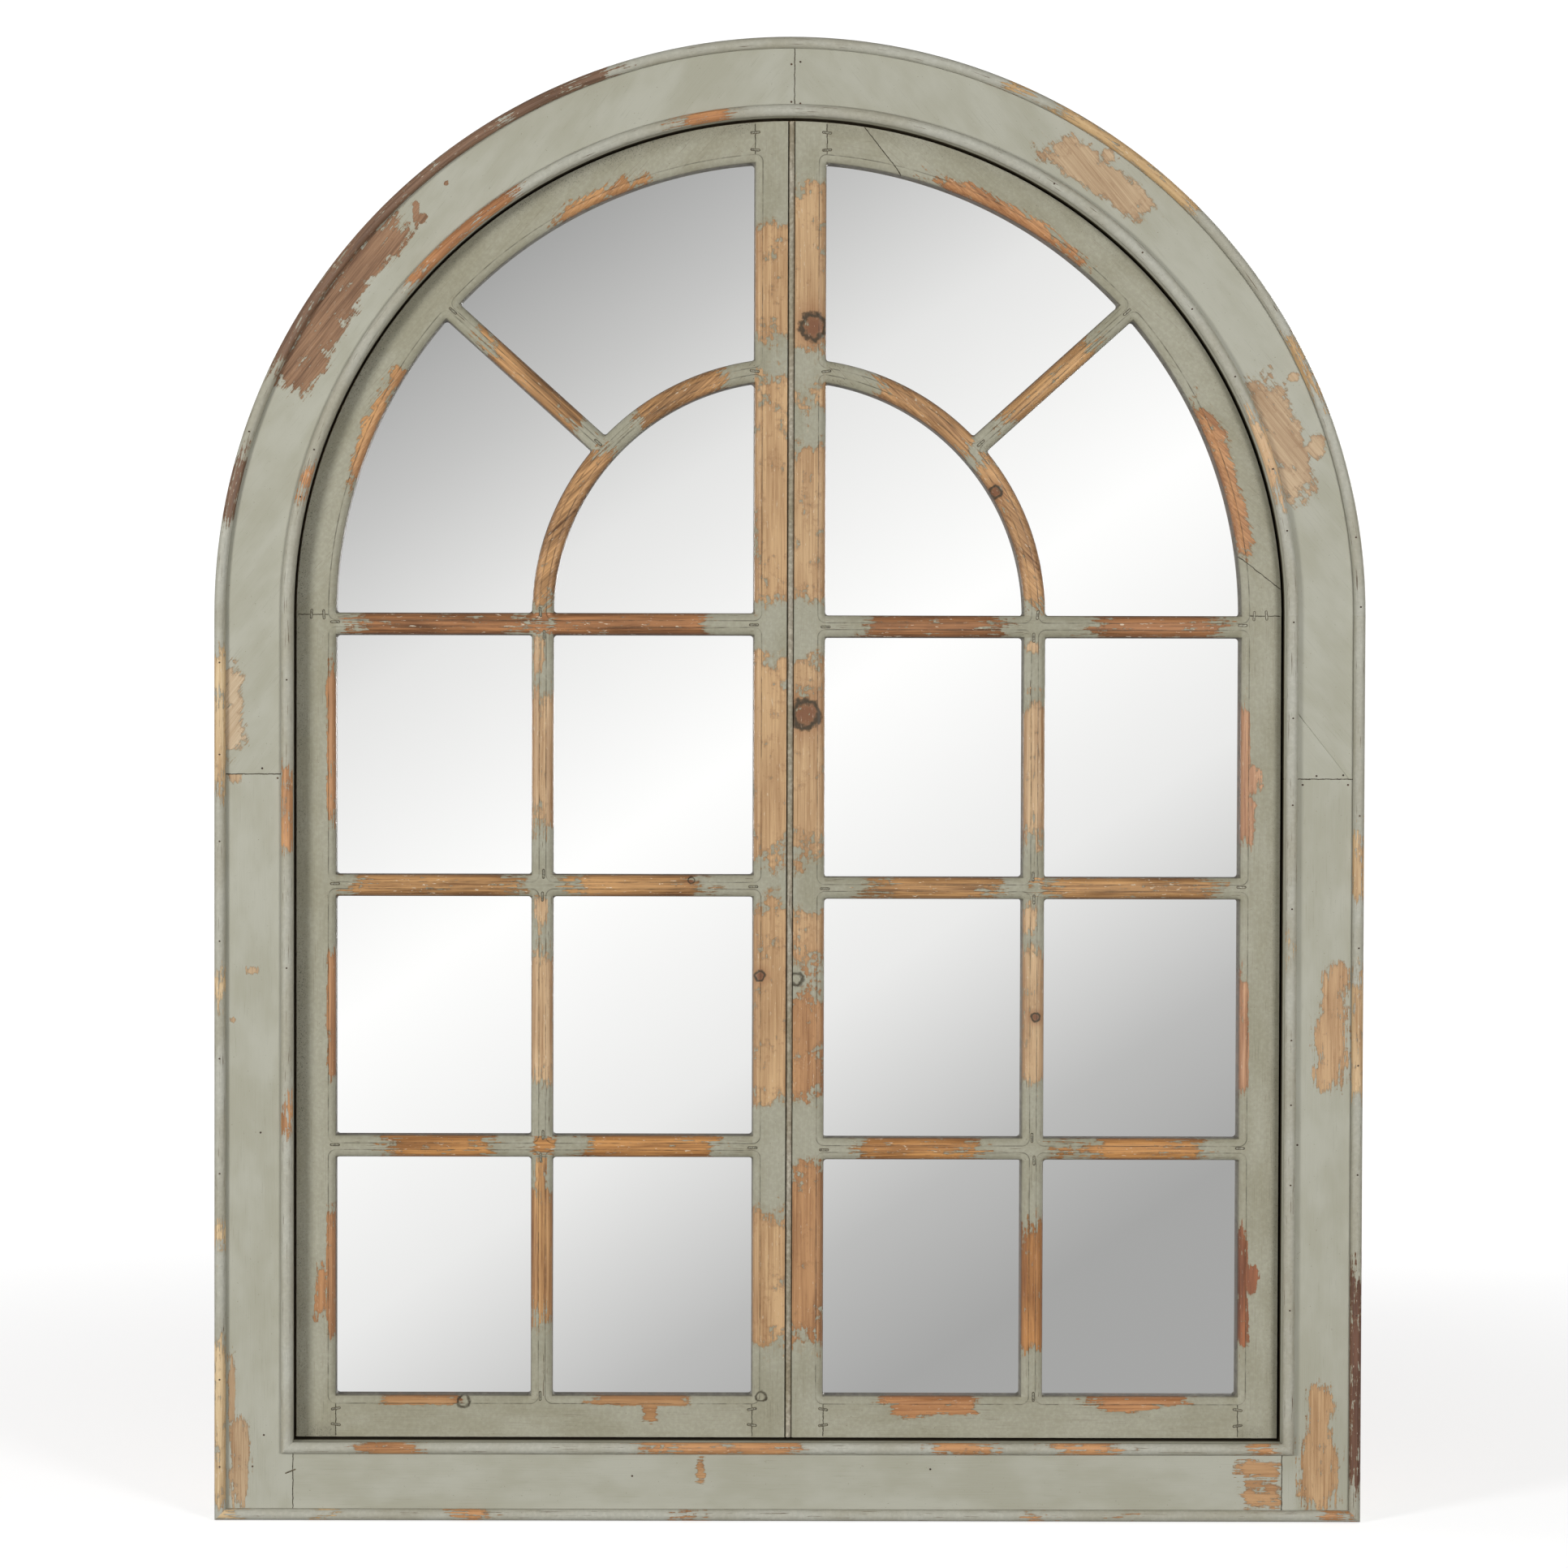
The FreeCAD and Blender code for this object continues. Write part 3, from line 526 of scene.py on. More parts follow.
# The beads' lower sides darken towards the casing face: painted shade in the crease, with some dark glazing.
BEAD_TONE = dict(paint_tone=(186, 185, 172), dusk=(170, 166, 148), streak=0.85, dirt=0.12, worn=0.80, hair=0.85,
                 chip=0.6, glaze=(CASING_FRONT_Y - 0.0016, CASING_FRONT_Y - 0.0002))
ROUND_BEADS = [
    ("outer_bead_arch", OUTER_MID, OUTER_BEAD_W,
     dict(spans=[polar_px(760, 80, 520, 240), polar_px(560, 200, 335, 450), polar_px(290, 560, 280, 640),
                 polar_px(1290, 128, 1474, 265), polar_px(1235, 104, 1262, 116), polar_px(1600, 400, 1640, 480)],
          pale=(138, 108, 86), dark=(72, 50, 38), tints=((206, 174, 128), (160, 120, 78), "x", -0.12, 0.08))),
    ("inner_bead_arch", INNER_MID, INNER_BEAD_W,
     dict(spans=[polar_px(640, 238, 496, 345), polar_px(830, 154, 896, 140), polar_px(372, 578, 380, 609),
                 polar_px(1543, 505, 1580, 609)],
          pale=(202, 146, 98), dark=(118, 72, 44), tints=((222, 190, 150), (190, 150, 108), "x", 0.1, 0.3))),
]
for number, (node, middle, width, look) in enumerate(ROUND_BEADS):
    coat = painted_wood(node + "_paint", 0.0, "turn", seed=20.0 + number, soft=0.05, bent=True, **look, **BEAD_TONE)
    new_piece(node + "_round", arch_bead(node + "_round", middle, width), coat, node)

LIGHT_BEAD = dict(pale=(220, 194, 152), dark=(160, 122, 78))
ORANGE_BEAD = dict(pale=(204, 152, 104), dark=(126, 82, 50))
DARK_BEAD = dict(pale=(116, 82, 64), dark=(52, 34, 28),
                 tints=((214, 184, 142), (158, 118, 78), "z", photo(0, 1500)[1], photo(0, 1420)[1]))
STRAIGHT_BEADS = {
    "outer_bead_left": ("z", span_z(796, 975, 1200, 1230, 1500, 1540, 1661, 1872), LIGHT_BEAD),
    "outer_bead_right": ("z", span_z(1021, 1104, 1193, 1343, 1560, 1830), DARK_BEAD),
    "outer_bead_bottom_short": ("x", span_x(266, 290, 380, 410), LIGHT_BEAD),
    "outer_bead_bottom_long": (
        "x", span_x(560, 600, 840, 870, 1266, 1290, 1376, 1390, 1640, 1672), ORANGE_BEAD),
    "inner_bead_left": ("z", span_z(942, 1044, 1356, 1395), ORANGE_BEAD),
    "inner_bead_right": ("z", span_z(1160, 1175), LIGHT_BEAD),
    "inner_bead_bottom": ("x", span_x(441, 518, 786, 986, 1157, 1218, 1297, 1388, 1545, 1578), ORANGE_BEAD),
}
for number, (node, (along, spans, look)) in enumerate(STRAIGHT_BEADS.items()):
    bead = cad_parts[node]
    grain = 90.0 if along == "z" else 0.0
    clothed(bead, painted_wood(node + "_paint", grain, along, spans, seed=30.0 + number, **look, **BEAD_TONE))
    smoothed(bead)


# ================================================================ sash sticks
# Two leaves of half-inch pine sticks, glued up with staples and then routed round every pane with a
# quarter-inch round. The router's bearing leaves each pane's corners slightly round.
SASH_R, SASH_Z, SASH_BACK_Y = 0.3995, 0.0655, 0.00692
PANE_R, PANE_Z = 0.3675, 0.099
BAR_W, RAY_W = 0.018, 0.0165
RAY_TURN = math.radians(42.0)
ROUND_R = 0.00635
PANE_CORNER_R = 0.0026
UPRIGHT_X = SASH_R / 2
INNER_R, OUTER_PANE_R = UPRIGHT_X - BAR_W / 2, UPRIGHT_X + BAR_W / 2  # the two sides of uprights and arc bars
MEETING_X, MEETING_BEAD_W, LEAF_GAP = -0.0017, 0.0056, 0.0004
TOP_BAR = ARCH_Z + 0.0018
PANE_H = (TOP_BAR - PANE_Z - 3 * BAR_W) / 3
EAR = 0.004  # the corner of a pane that belongs to the stick beside it
CORNER_STEPS, ROUND_STEPS, ARC_STEP = 8, 10, 0.004  # flats of a corner and of the round, length of an arc's
OVERCUT = 0.001  # how far a cutter reaches past the stick


def line_side(start, end):
    """A straight side of a pane: its outward normal and offset."""
    dx, dz = end[0] - start[0], end[1] - start[1]
    span = math.hypot(dx, dz)
    normal = (dz / span, -dx / span)
    return "line", normal, normal[0] * start[0] + normal[1] * start[1]


def round_side(radius, sign):
    """A curved side about the arch centre: sign is 1 where the pane lies inside the circle."""
    return "round", radius, sign


def fillet_centre(a, b, near, r):
    """Centre of the small circle that touches two sides from inside the pane."""
    if a[0] == "line" and b[0] == "line":
        (_, n, c), (_, m, d) = a, b
        c, d = c - r, d - r
        cross = n[0] * m[1] - n[1] * m[0]
        return (c * m[1] - d * n[1]) / cross, (n[0] * d - m[0] * c) / cross
    (_, n, c), curved = (a, b) if a[0] == "line" else (b, a)
    radius = curved[1] - curved[2] * r
    c = c - r - n[1] * ARCH_Z
    reach = math.sqrt(max(radius * radius - c * c, 0.0))
    options = [(n[0] * c - n[1] * way, ARCH_Z + n[1] * c + n[0] * way) for way in (reach, -reach)]
    return min(options, key=lambda p: math.dist(p, near))


def foot_on(side, centre):
    """Where a small circle about centre touches a side, as the outward direction there."""
    if side[0] == "line":
        return side[1]
    dx, dz = centre[0], centre[1] - ARCH_Z
    share = side[2] / math.hypot(dx, dz)
    return share * dx, share * dz


def pane_line(corners, sides):
    """Points of a pane's outline with round corners, each with its outward direction."""
    count = len(corners)
    centres = [fillet_centre(sides[i - 1], sides[i], corners[i], PANE_CORNER_R) for i in range(count)]
    points = []
    for i, (x, z) in enumerate(centres):
        before, after = foot_on(sides[i - 1], (x, z)), foot_on(sides[i], (x, z))
        first, last = math.atan2(before[1], before[0]), math.atan2(after[1], after[0])
        while last < first:
            last += 2 * math.pi
        for step in range(CORNER_STEPS + 1):
            turn = first + (last - first) * step / CORNER_STEPS
            nx, nz = math.cos(turn), math.sin(turn)
            points.append((x + PANE_CORNER_R * nx, z + PANE_CORNER_R * nz, nx, nz))
        if sides[i][0] == "round":
            _, radius, sign = sides[i]
            begin, end = points[-1], foot_on(sides[i], centres[(i + 1) % count])
            a = math.atan2(begin[1] - ARCH_Z, begin[0])
            b = math.atan2(sign * end[1], sign * end[0])
            stops = max(int(abs(b - a) * radius / ARC_STEP), 2)
            for step in range(1, stops):
                turn = a + (b - a) * step / stops
                nx, nz = math.cos(turn), math.sin(turn)
                points.append((radius * nx, ARCH_Z + radius * nz, sign * nx, sign * nz))
    return points


def router_path(points):
    """What the router cuts away for a pane, from behind the back to above the face."""
    profile = [(SASH_BACK_Y + OVERCUT, 0.0), (SASH_FRONT_Y + ROUND_R, 0.0)]
    for step in range(1, ROUND_STEPS + 1):
        turn = math.radians(90 * step / ROUND_STEPS)
        profile.append((SASH_FRONT_Y + 0.0002 + ROUND_R * (1 - math.sin(turn)), ROUND_R * (1 - math.cos(turn))))
    profile.append((SASH_FRONT_Y - OVERCUT, ROUND_R + 0.00002))
    return skin("router_path", [[(x + nx * out, y, z + nz * out) for x, z, nx, nz in points]
                                for y, out in profile], None)


def circle_z(radius, x):
    return ARCH_Z + math.sqrt(radius * radius - x * x)


def circle_x(radius, z):
    return math.sqrt(radius * radius - (z - ARCH_Z) ** 2)


def polar(radius, turn):
    return radius * math.cos(turn), ARCH_Z + radius * math.sin(turn)


def ray_at(radius, across):
    along = math.sqrt(radius * radius - across * across)
    return (along * math.cos(RAY_TURN) - across * math.sin(RAY_TURN),
            ARCH_Z + along * math.sin(RAY_TURN) + across * math.cos(RAY_TURN))


def curve_points(radius, start, end):
    """Points of an arc about the arch centre between two of its points, both included."""
    a, b = (math.atan2(z - ARCH_Z, x) for x, z in (start, end))
    stops = max(int(abs(b - a) * radius / ARC_STEP), 2)
    return [polar(radius, a + (b - a) * i / stops) for i in range(stops + 1)]


def leaf_panes(pane_x, bars):
    """Outlines of one leaf's nine panes, as if it were the right one."""
    top, inner, outer, half = bars[0], INNER_R, OUTER_PANE_R, RAY_W / 2
    shapes = []
    for bar_top, below in zip(bars, bars[1:] + [PANE_Z]):
        above = bar_top - BAR_W
        for x0, x1 in ((pane_x, inner), (outer, PANE_R)):
            shapes.append(([(x0, below), (x1, below), (x1, above), (x0, above)], {}))
    shapes.append(([(pane_x, top), (circle_x(inner, top), top), (pane_x, circle_z(inner, pane_x))],
                   {1: round_side(inner, 1)}))
    curved = {1: round_side(PANE_R, 1), 3: round_side(outer, -1)}
    shapes.append(([(circle_x(outer, top), top), (circle_x(PANE_R, top), top), ray_at(PANE_R, -half),
                    ray_at(outer, -half)], curved))
    shapes.append(([ray_at(outer, half), ray_at(PANE_R, half), (pane_x, circle_z(PANE_R, pane_x)),
                    (pane_x, circle_z(outer, pane_x))], curved))
    panes = []
    for corners, curved in shapes:
        ends = corners[1:] + corners[:1]
        sides = [curved.get(i) or line_side(corners[i], ends[i]) for i in range(len(corners))]
        panes.append((pane_line(corners, sides), sides))
    return panes


def pane_edge(name, sides, flip):
    """Group that measures the distance outward from a pane's edge, from its straight and round sides."""
    group, (place,), made = node_group(name, dict(Place=None), ["Distance"])
    x, _, z = place.split()
    if flip:
        x = x * -1.0
    radius = length(x, z - ARCH_Z)
    outs = []
    for kind, first, second in sides:
        out = x * first[0] + z * first[1] - second if kind == "line" else radius * second - second * first
        outs.append(out.most(0.0))
    feed(group, length(*outs), made[0])
    return group


def notched(z, spans, way):
    """One long edge of a bar, walked with growing x, with a small ear beside each pane's corner."""
    points = []
    for x0, x1 in spans:
        points += [(x0, z), (x0, z + way * EAR), (x0 + EAR, z + way * EAR), (x0 + EAR, z)]
        points += [(x1 - EAR, z), (x1 - EAR, z + way * EAR), (x1, z + way * EAR), (x1, z)]
    return points


def leaf_sticks(edge_x, pane_x, bars, scarfs):
    """Outline of each stick of a leaf by name, as if it were the right one."""
    top, inner, outer = bars[0], INNER_R, OUTER_PANE_R
    sticks = {"outer_stile": [(PANE_R, SASH_Z), (SASH_R, SASH_Z), (SASH_R, ARCH_Z), (PANE_R, ARCH_Z)]}
    in_z, out_z, far_z = (circle_z(r, pane_x) for r in (inner, outer, PANE_R))
    ear_x = pane_x + EAR
    sticks["meeting_stile"] = [
        (edge_x, SASH_Z), (pane_x, SASH_Z), (pane_x, in_z - EAR), (ear_x, in_z - EAR),
        (ear_x, circle_z(inner, ear_x)), (pane_x, in_z), (pane_x, out_z), (ear_x, circle_z(outer, ear_x)),
        (ear_x, out_z + EAR), (pane_x, out_z + EAR), (pane_x, far_z - EAR), (ear_x, far_z - EAR),
        (ear_x, circle_z(PANE_R, ear_x)), (pane_x, far_z),
        *curve_points(SASH_R, (pane_x, circle_z(SASH_R, pane_x)), (edge_x, circle_z(SASH_R, edge_x)))]
    gaps = [(pane_x, inner), (outer, PANE_R)]
    sticks["bottom_rail"] = [(PANE_R, SASH_Z), (pane_x, SASH_Z), (pane_x, PANE_Z),
                             *notched(PANE_Z, gaps, 1)[1:-1], (PANE_R, PANE_Z)]
    for row, (bar_top, below) in enumerate(zip(bars, bars[1:] + [PANE_Z])):
        low = bar_top - BAR_W
        above_gaps, upper_ends = gaps, [(PANE_R, bar_top)]
        if row == 0:
            above_gaps = [(pane_x, circle_x(inner, top)), (circle_x(outer, top), circle_x(PANE_R, top))]
            upper_ends = [(circle_x(PANE_R, top), top), (PANE_R, ARCH_Z)]
        sticks[f"bar_{row + 1}"] = [(pane_x, bar_top), *notched(bar_top, above_gaps, 1)[1:-1], *upper_ends,
                                    *notched(low, gaps, -1)[::-1][:-1], (pane_x, low)]
        sticks[f"upright_{row + 1}"] = [(inner, below), (outer, below), (outer, low), (inner, low)]
    sticks["arc_bar"] = (curve_points(outer, (circle_x(outer, top), top), (pane_x, out_z))
                         + curve_points(inner, (pane_x, in_z), (circle_x(inner, top), top)))
    half = RAY_W / 2
    cos, sin = EAR * math.cos(RAY_TURN), EAR * math.sin(RAY_TURN)
    ray = []
    for across, radius, way in ((-half, outer, 1), (-half, PANE_R, -1), (half, PANE_R, -1), (half, outer, 1)):
        x, z = ray_at(radius, across)
        side = math.copysign(1.0, across)
        ear = [(x + way * cos, z + way * sin), (x + way * cos - side * sin, z + way * sin + side * cos),
               ray_at(radius, across + side * EAR), (x, z)]
        ray += ear if (across < 0) == (radius == PANE_R) else ear[::-1]
    sticks["ray_bar"] = ray
    names = ["arch_rail_1", "arch_rail_2", "arch_rail_3"] if scarfs else ["arch_rail"]
    ends = [((pane_x, far_z), (pane_x, circle_z(SASH_R, pane_x)))]
    ends += [(polar(PANE_R, math.radians(low)), polar(SASH_R, math.radians(high))) for low, high in scarfs]
    ends.append(((PANE_R, ARCH_Z), (SASH_R, ARCH_Z)))
    for name, (high_in, high_out), (low_in, low_out) in zip(names, ends, ends[1:]):
        sticks[name] = curve_points(SASH_R, low_out, high_out) + curve_points(PANE_R, high_in, low_in)
    return sticks


def routed(name, outline, cutters, flip):
    """A stick cut to its outline and then routed by the panes' cutters, with the groups of those panes."""
    clean = [point for point, last in zip(outline, outline[-1:] + outline) if math.dist(point, last) > 1e-6]
    mesh = skin(name, [[(x, y, z) for x, z in clean] for y in (SASH_FRONT_Y, SASH_BACK_Y)], None)
    blank = bpy.data.objects.new(name + "_blank", mesh)
    near = bpy.data.collections.new("near")
    beside = []
    for line, router, edge in cutters:
        if all(max(p[i] for p in line) > min(p[i] for p in clean) - ROUND_R
               and min(p[i] for p in line) < max(p[i] for p in clean) + ROUND_R for i in (0, 1)):
            near.objects.link(router)
            beside.append(edge)
    bpy.context.scene.collection.objects.link(blank)
    bpy.context.scene.collection.children.link(near)
    cut = blank.modifiers.new("routed", "BOOLEAN")
    cut.operand_type = "COLLECTION"
    cut.collection = near
    cut.solver = "EXACT"
    cut.operation = "DIFFERENCE"
    graph = bpy.context.evaluated_depsgraph_get()
    result = bpy.data.meshes.new_from_object(blank.evaluated_get(graph))
    bpy.data.objects.remove(blank)
    bpy.data.collections.remove(near)
    if flip:
        result.transform(Matrix.Scale(-1.0, 4, (1.0, 0.0, 0.0)))
        result.flip_normals()
    result.name = name
    result.materials.clear()
    smooth(result, 30.0)
    return result, beside


def radius_px(x0, y0, x1, y1):
    values = sorted(math.hypot(x, z - ARCH_Z) for x, z in (photo(x0, y0), photo(x1, y1)))
    return [tuple(values)]


def arc_rim(*corners):
    """A bare band along the routed edge of an arch rail, between two spots of the photograph."""
    return *polar_px(*corners), PANE_R - 0.002, PANE_R + 0.010


def stick_joints(name, pane_x, scarfs):
    """Glue lines that show beside a stick, as if it were on the right leaf."""
    sloped = [(*polar(PANE_R, math.radians(low)), *polar(SASH_R, math.radians(high))) for low, high in scarfs]
    foot = [(x, SASH_Z + 0.001, x, PANE_Z - ROUND_R) for x in (pane_x, PANE_R)]
    head = (pane_x, circle_z(PANE_R, pane_x) + ROUND_R, pane_x, circle_z(SASH_R, pane_x) - 0.001)
    spring = (PANE_R + ROUND_R, ARCH_Z, SASH_R - 0.001, ARCH_Z)
    known = {"bottom_rail": foot, "outer_stile": [foot[1], spring], "meeting_stile": [foot[0], head],
             "arch_rail": [head, spring], "arch_rail_1": [head] + sloped[:1], "arch_rail_2": sloped,
             "arch_rail_3": [spring] + sloped[1:]}
    return known.get(name, [])


def look_of(grain, pale, dark, **more):
    return dict(grain=grain, pale=pale, dark=dark, **more)


def bar_look(row, *edges, **more):
    """A horizontal bar: bare between the given photo columns, in the tones of its row from the top."""
    pale, dark, chip = [((180, 126, 82), (46, 20, 6), 0.8), ((206, 158, 104), (74, 40, 16), 0.8),
                        ((204, 148, 88), (84, 42, 16), 0.6)][row]
    return look_of(0.0, pale, dark, spans=span_x(*edges), streak=0.9, soft=0.026, chip=chip, **more)


def upright_look(*edges, pale=(210, 178, 138), dark=(140, 100, 64), streak=0.7, chip=0.4, **more):
    """An upright bar: bare between the given photo rows."""
    return look_of(90.0, pale, dark, along="z", spans=span_z(*edges), streak=streak, chip=chip, **more)


def fan_look(grain, along, spans, pale=(206, 158, 106), dark=(76, 46, 24), chip=0.5, **more):
    """An arc bar or ray bar of the fanlight."""
    return look_of(grain, pale, dark, along=along, spans=spans, streak=0.8, chip=chip, **more)


def meeting_look(pale, dark, *edges, **more):
    """A meeting stile, rubbed through in blotches."""
    return look_of(90.0, pale, dark, along="z", spans=span_z(*edges), streak=0.22, worn=0.76, chip=0.35, **more)


STICK_LOOKS = {
    "left_outer_stile": look_of(
        90.0, (190, 140, 96), (132, 90, 58), rounds=span_z(818, 1005, 1165, 1330, 1485, 1650),
        patches=[box_px(386, 402, 1566, 1622)], streak=0.6, chip=0.3),
    "right_outer_stile": look_of(
        90.0, (164, 104, 70), (72, 40, 28), rounds=span_z(860, 1035, 1195, 1350, 1515, 1665),
        patches=[box_px(1533, 1560, 940, 975), box_px(1533, 1550, 975, 1035), box_px(1530, 1546, 1545, 1655),
                 box_px(1540, 1556, 1560, 1600)], streak=0.6, chip=0.3,
        tints=((206, 162, 126), (140, 92, 62), "z", photo(0, 1420)[1], photo(0, 1300)[1])),
    "left_meeting_stile": meeting_look(
        (204, 168, 124), (150, 110, 72), 268, 416, 459, 742, 800, 1067, 1106, 1363, 1491, 1666,
        knots=[(*photo(938, 1201), 0.0035), (*photo(941, 1724), 0.0035)]),
    "right_meeting_stile": meeting_look(
        (188, 142, 98), (124, 82, 50), 223, 436, 460, 495, 537, 738, 808, 1060, 1120, 1192, 1217, 1349, 1430, 1666,
        knots=[(*photo(1002, 398), 0.0088), (*photo(994, 877), 0.0095), (*photo(984, 1205), 0.0045)],
        tints=((202, 168, 126), (150, 110, 72), "z", 0.423, 0.495)),
    "left_bar_1": bar_look(0, 435, 640, 672, 870, patches=[box_px(650, 680, 744, 776)]),
    "left_bar_2": bar_look(1, 430, 640, 705, 872, knots=[(*photo(853, 1083), 0.0022)]),
    "left_bar_3": bar_look(2, 480, 600, 720, 880, patches=[box_px(656, 684, 1400, 1422)]),
    "right_bar_1": bar_look(0, 1070, 1232, 1345, 1503),
    "right_bar_2": bar_look(1, 1075, 1228, 1295, 1495),
    "right_bar_3": bar_look(2, 1065, 1203, 1300, 1318, 1340, 1483),
    "left_upright_1": upright_look(845, 1015, patches=[box_px(655, 671, 784, 832)]),
    "left_upright_2": upright_look(1175, 1335, patches=[box_px(658, 674, 1104, 1142)]),
    "left_upright_3": upright_look(1470, 1630, patches=[box_px(658, 674, 1428, 1470)], pale=(202, 156, 104),
                                   dark=(108, 64, 34), streak=0.8, chip=0.12),
    "right_upright_1": upright_look(865, 1030, patches=[box_px(1266, 1282, 786, 800)]),
    "right_upright_2": upright_look(1165, 1330, knots=[(*photo(1280, 1252), 0.0030)],
                                    patches=[box_px(1264, 1280, 1108, 1150)]),
    "right_upright_3": upright_look(1505, 1665, pale=(196, 140, 84), dark=(104, 58, 28), chip=0.12),
    "left_arc_bar": fan_look(42.0, "turn", [polar_px(896, 463, 792, 515), polar_px(745, 560, 690, 740)], soft=0.11),
    "right_arc_bar": fan_look(-45.0, "turn", [polar_px(1078, 470, 1200, 540), polar_px(1215, 560, 1285, 740)],
                              (208, 162, 112), (96, 60, 34), soft=0.11, knots=[(*photo(1228, 602), 0.004)]),
    "left_ray_bar": fan_look(-42.0, "radius", radius_px(600, 410, 720, 520)),
    "right_ray_bar": fan_look(42.0, "radius", radius_px(1350, 415, 1230, 510), (212, 166, 112), (92, 56, 30), 0.4),
    "left_arch_rail": look_of(
        48.0, (206, 156, 104), (136, 92, 56), rims=[arc_rim(800, 225, 680, 262), arc_rim(490, 440, 430, 600)],
        streak=0.55, worn=0.86, chip=0.3),
    "right_arch_rail_1": dict(grain=-8.0),
    "right_arch_rail_2": look_of(
        -42.0, (204, 152, 104), (124, 76, 44), streak=0.6, chip=0.4,
        rims=[arc_rim(1140, 215, 1330, 330), (*polar_px(1480, 490, 1540, 680), PANE_R - 0.002, PANE_R + 0.014)]),
    "right_arch_rail_3": dict(grain=-80.0),
    "left_bottom_rail": look_of(
        0.0, (190, 146, 100), (134, 92, 56), rounds=span_x(470, 570, 725, 850), streak=0.6,
        patches=[box_px(795, 812, 1736, 1758)], knots=[(*photo(572, 1731), 0.004)]),
    "right_bottom_rail": look_of(
        0.0, (196, 142, 94), (126, 78, 44), rounds=span_x(1093, 1210, 1350, 1470), streak=0.6, chip=0.4,
        patches=[box_px(1100, 1205, 1730, 1748), box_px(1360, 1440, 1726, 1742)]),
}
# Strength of the painted shadow band beside the opening on each leaf; the left one is darker.
SHADE_AND_GRIME = {"left": 0.85, "right": 0.36}
LEFT_EDGE = LEAF_GAP / 2 - MEETING_X
RIGHT_EDGE = MEETING_X + LEAF_GAP / 2 + MEETING_BEAD_W
LEFT_STILE_W, RIGHT_STILE_W = 0.0265, 0.0256
RIGHT_DROP = 0.0016  # the right leaf's bars sit this much lower
RIGHT_SCARFS = [(75.8, 81.4), (7.6, 3.1)]  # degrees above X of each sloped joint's inner and outer end
leaves = []  # side, way of its x, meeting edge, pane edge, tops of its bars, scarf joints
for side, way, edge_x, stile_w, drop, scarfs in (
        ("left", -1.0, LEFT_EDGE, LEFT_STILE_W, 0.0, []),
        ("right", 1.0, RIGHT_EDGE, RIGHT_STILE_W, RIGHT_DROP, RIGHT_SCARFS)):
    bars = [TOP_BAR - drop - row * (PANE_H + BAR_W) for row in range(3)]
    leaves.append((side, way, edge_x, edge_x + stile_w, bars, scarfs))

stick_number = 0
for side, way, edge_x, pane_x, bars, scarfs in leaves:
    cutters = []
    for number, (outline, sides) in enumerate(leaf_panes(pane_x, bars)):
        edge = pane_edge(f"{side}_pane_{number + 1}_edge", sides, side == "left")
        cutters.append((outline, bpy.data.objects.new("router", router_path(outline)), edge))
    for name, outline in leaf_sticks(edge_x, pane_x, bars, scarfs).items():
        node = f"{side}_{name}"
        stick_number += 1
        mesh, beside = routed(node + "_routed", outline, cutters, side == "left")
        thin = "bar" in name or "upright" in name
        sooty = "outer" in name or "arch" in name
        seams = [(way * x0, z0, way * x1, z1) for x0, z0, x1, z1 in stick_joints(name, pane_x, scarfs)]
        # Each stick gets painted shade deep in its pane edges near the mirror. The outer and arched sticks also get
        # the painted shadow band beside the opening.
        coat = painted_wood(node + "_paint", **STICK_LOOKS[node], paint_tone=(170, 167, 148), dusk=(156, 152, 130),
                            seed=50.0 + stick_number * 2.3, dirt=0.13, soot=SHADE_AND_GRIME[side] if sooty else 0.0,
                            hair=1.0 if thin else 0.25, panes=beside, cracks=seams,
                            glaze=(SASH_FRONT_Y + 0.0052, SASH_FRONT_Y + 0.0072))
        stick = new_piece(node + "_routed", mesh, coat, node)
        flats = stick.modifiers.new("flats", "WEIGHTED_NORMAL")
        flats.keep_sharp = True
    for _, router, _ in cutters:
        bpy.data.objects.remove(router)


# ================================================================ staples in the sash joints
# Quarter-inch crown staples hold the sticks while the glue sets. Each sits on a dark capsule a little larger than
# itself at the face: painted shade of the small dent it lies in, with dark glazing round its wire. One longer staple
# closes the casing's left foot seam.
STAPLE_LONG, LONG_STAPLE, STAPLE_WIRE = 0.0068, 0.0095, 0.0012
DENT_LONGER, DENT_WIDER = 0.0016, 0.0013
CAPSULE_SIDES, CAPSULE_EASE = 16, 0.00012


def capsules(name, places, long, wide, low, high):
    """Flat bars with round ends, all in one mesh, at places (x, z, angle above X in degrees)."""
    bm = bmesh.new()
    for x, z, angle in places:
        turn = math.radians(angle)
        rings = []
        for y, grow in ((low, 0.0), (high + 0.0001, 0.0), (high, -CAPSULE_EASE)):
            ring = []
            for step in range(CAPSULE_SIDES):
                around = 2 * math.pi * (step + 0.5) / CAPSULE_SIDES
                end = math.copysign(long / 2 - wide / 2, math.cos(around))
                a, b = end + (wide / 2 + grow) * math.cos(around), (wide / 2 + grow) * math.sin(around)
                ring.append(bm.verts.new((x + a * math.cos(turn) - b * math.sin(turn), y,
                                          z + a * math.sin(turn) + b * math.cos(turn))))
            rings.append(ring)
        for first, second in zip(rings, rings[1:]):
            for i in range(CAPSULE_SIDES):
                j = (i + 1) % CAPSULE_SIDES
                bm.faces.new((first[i], first[j], second[j], second[i]))
        bm.faces.new(rings[0])
        bm.faces.new(reversed(rings[-1]))
    bmesh.ops.recalc_face_normals(bm, faces=bm.faces)
    mesh = bpy.data.meshes.new(name)
    bm.to_mesh(mesh)
    bm.free()
    smooth(mesh, 40.0)
    return mesh


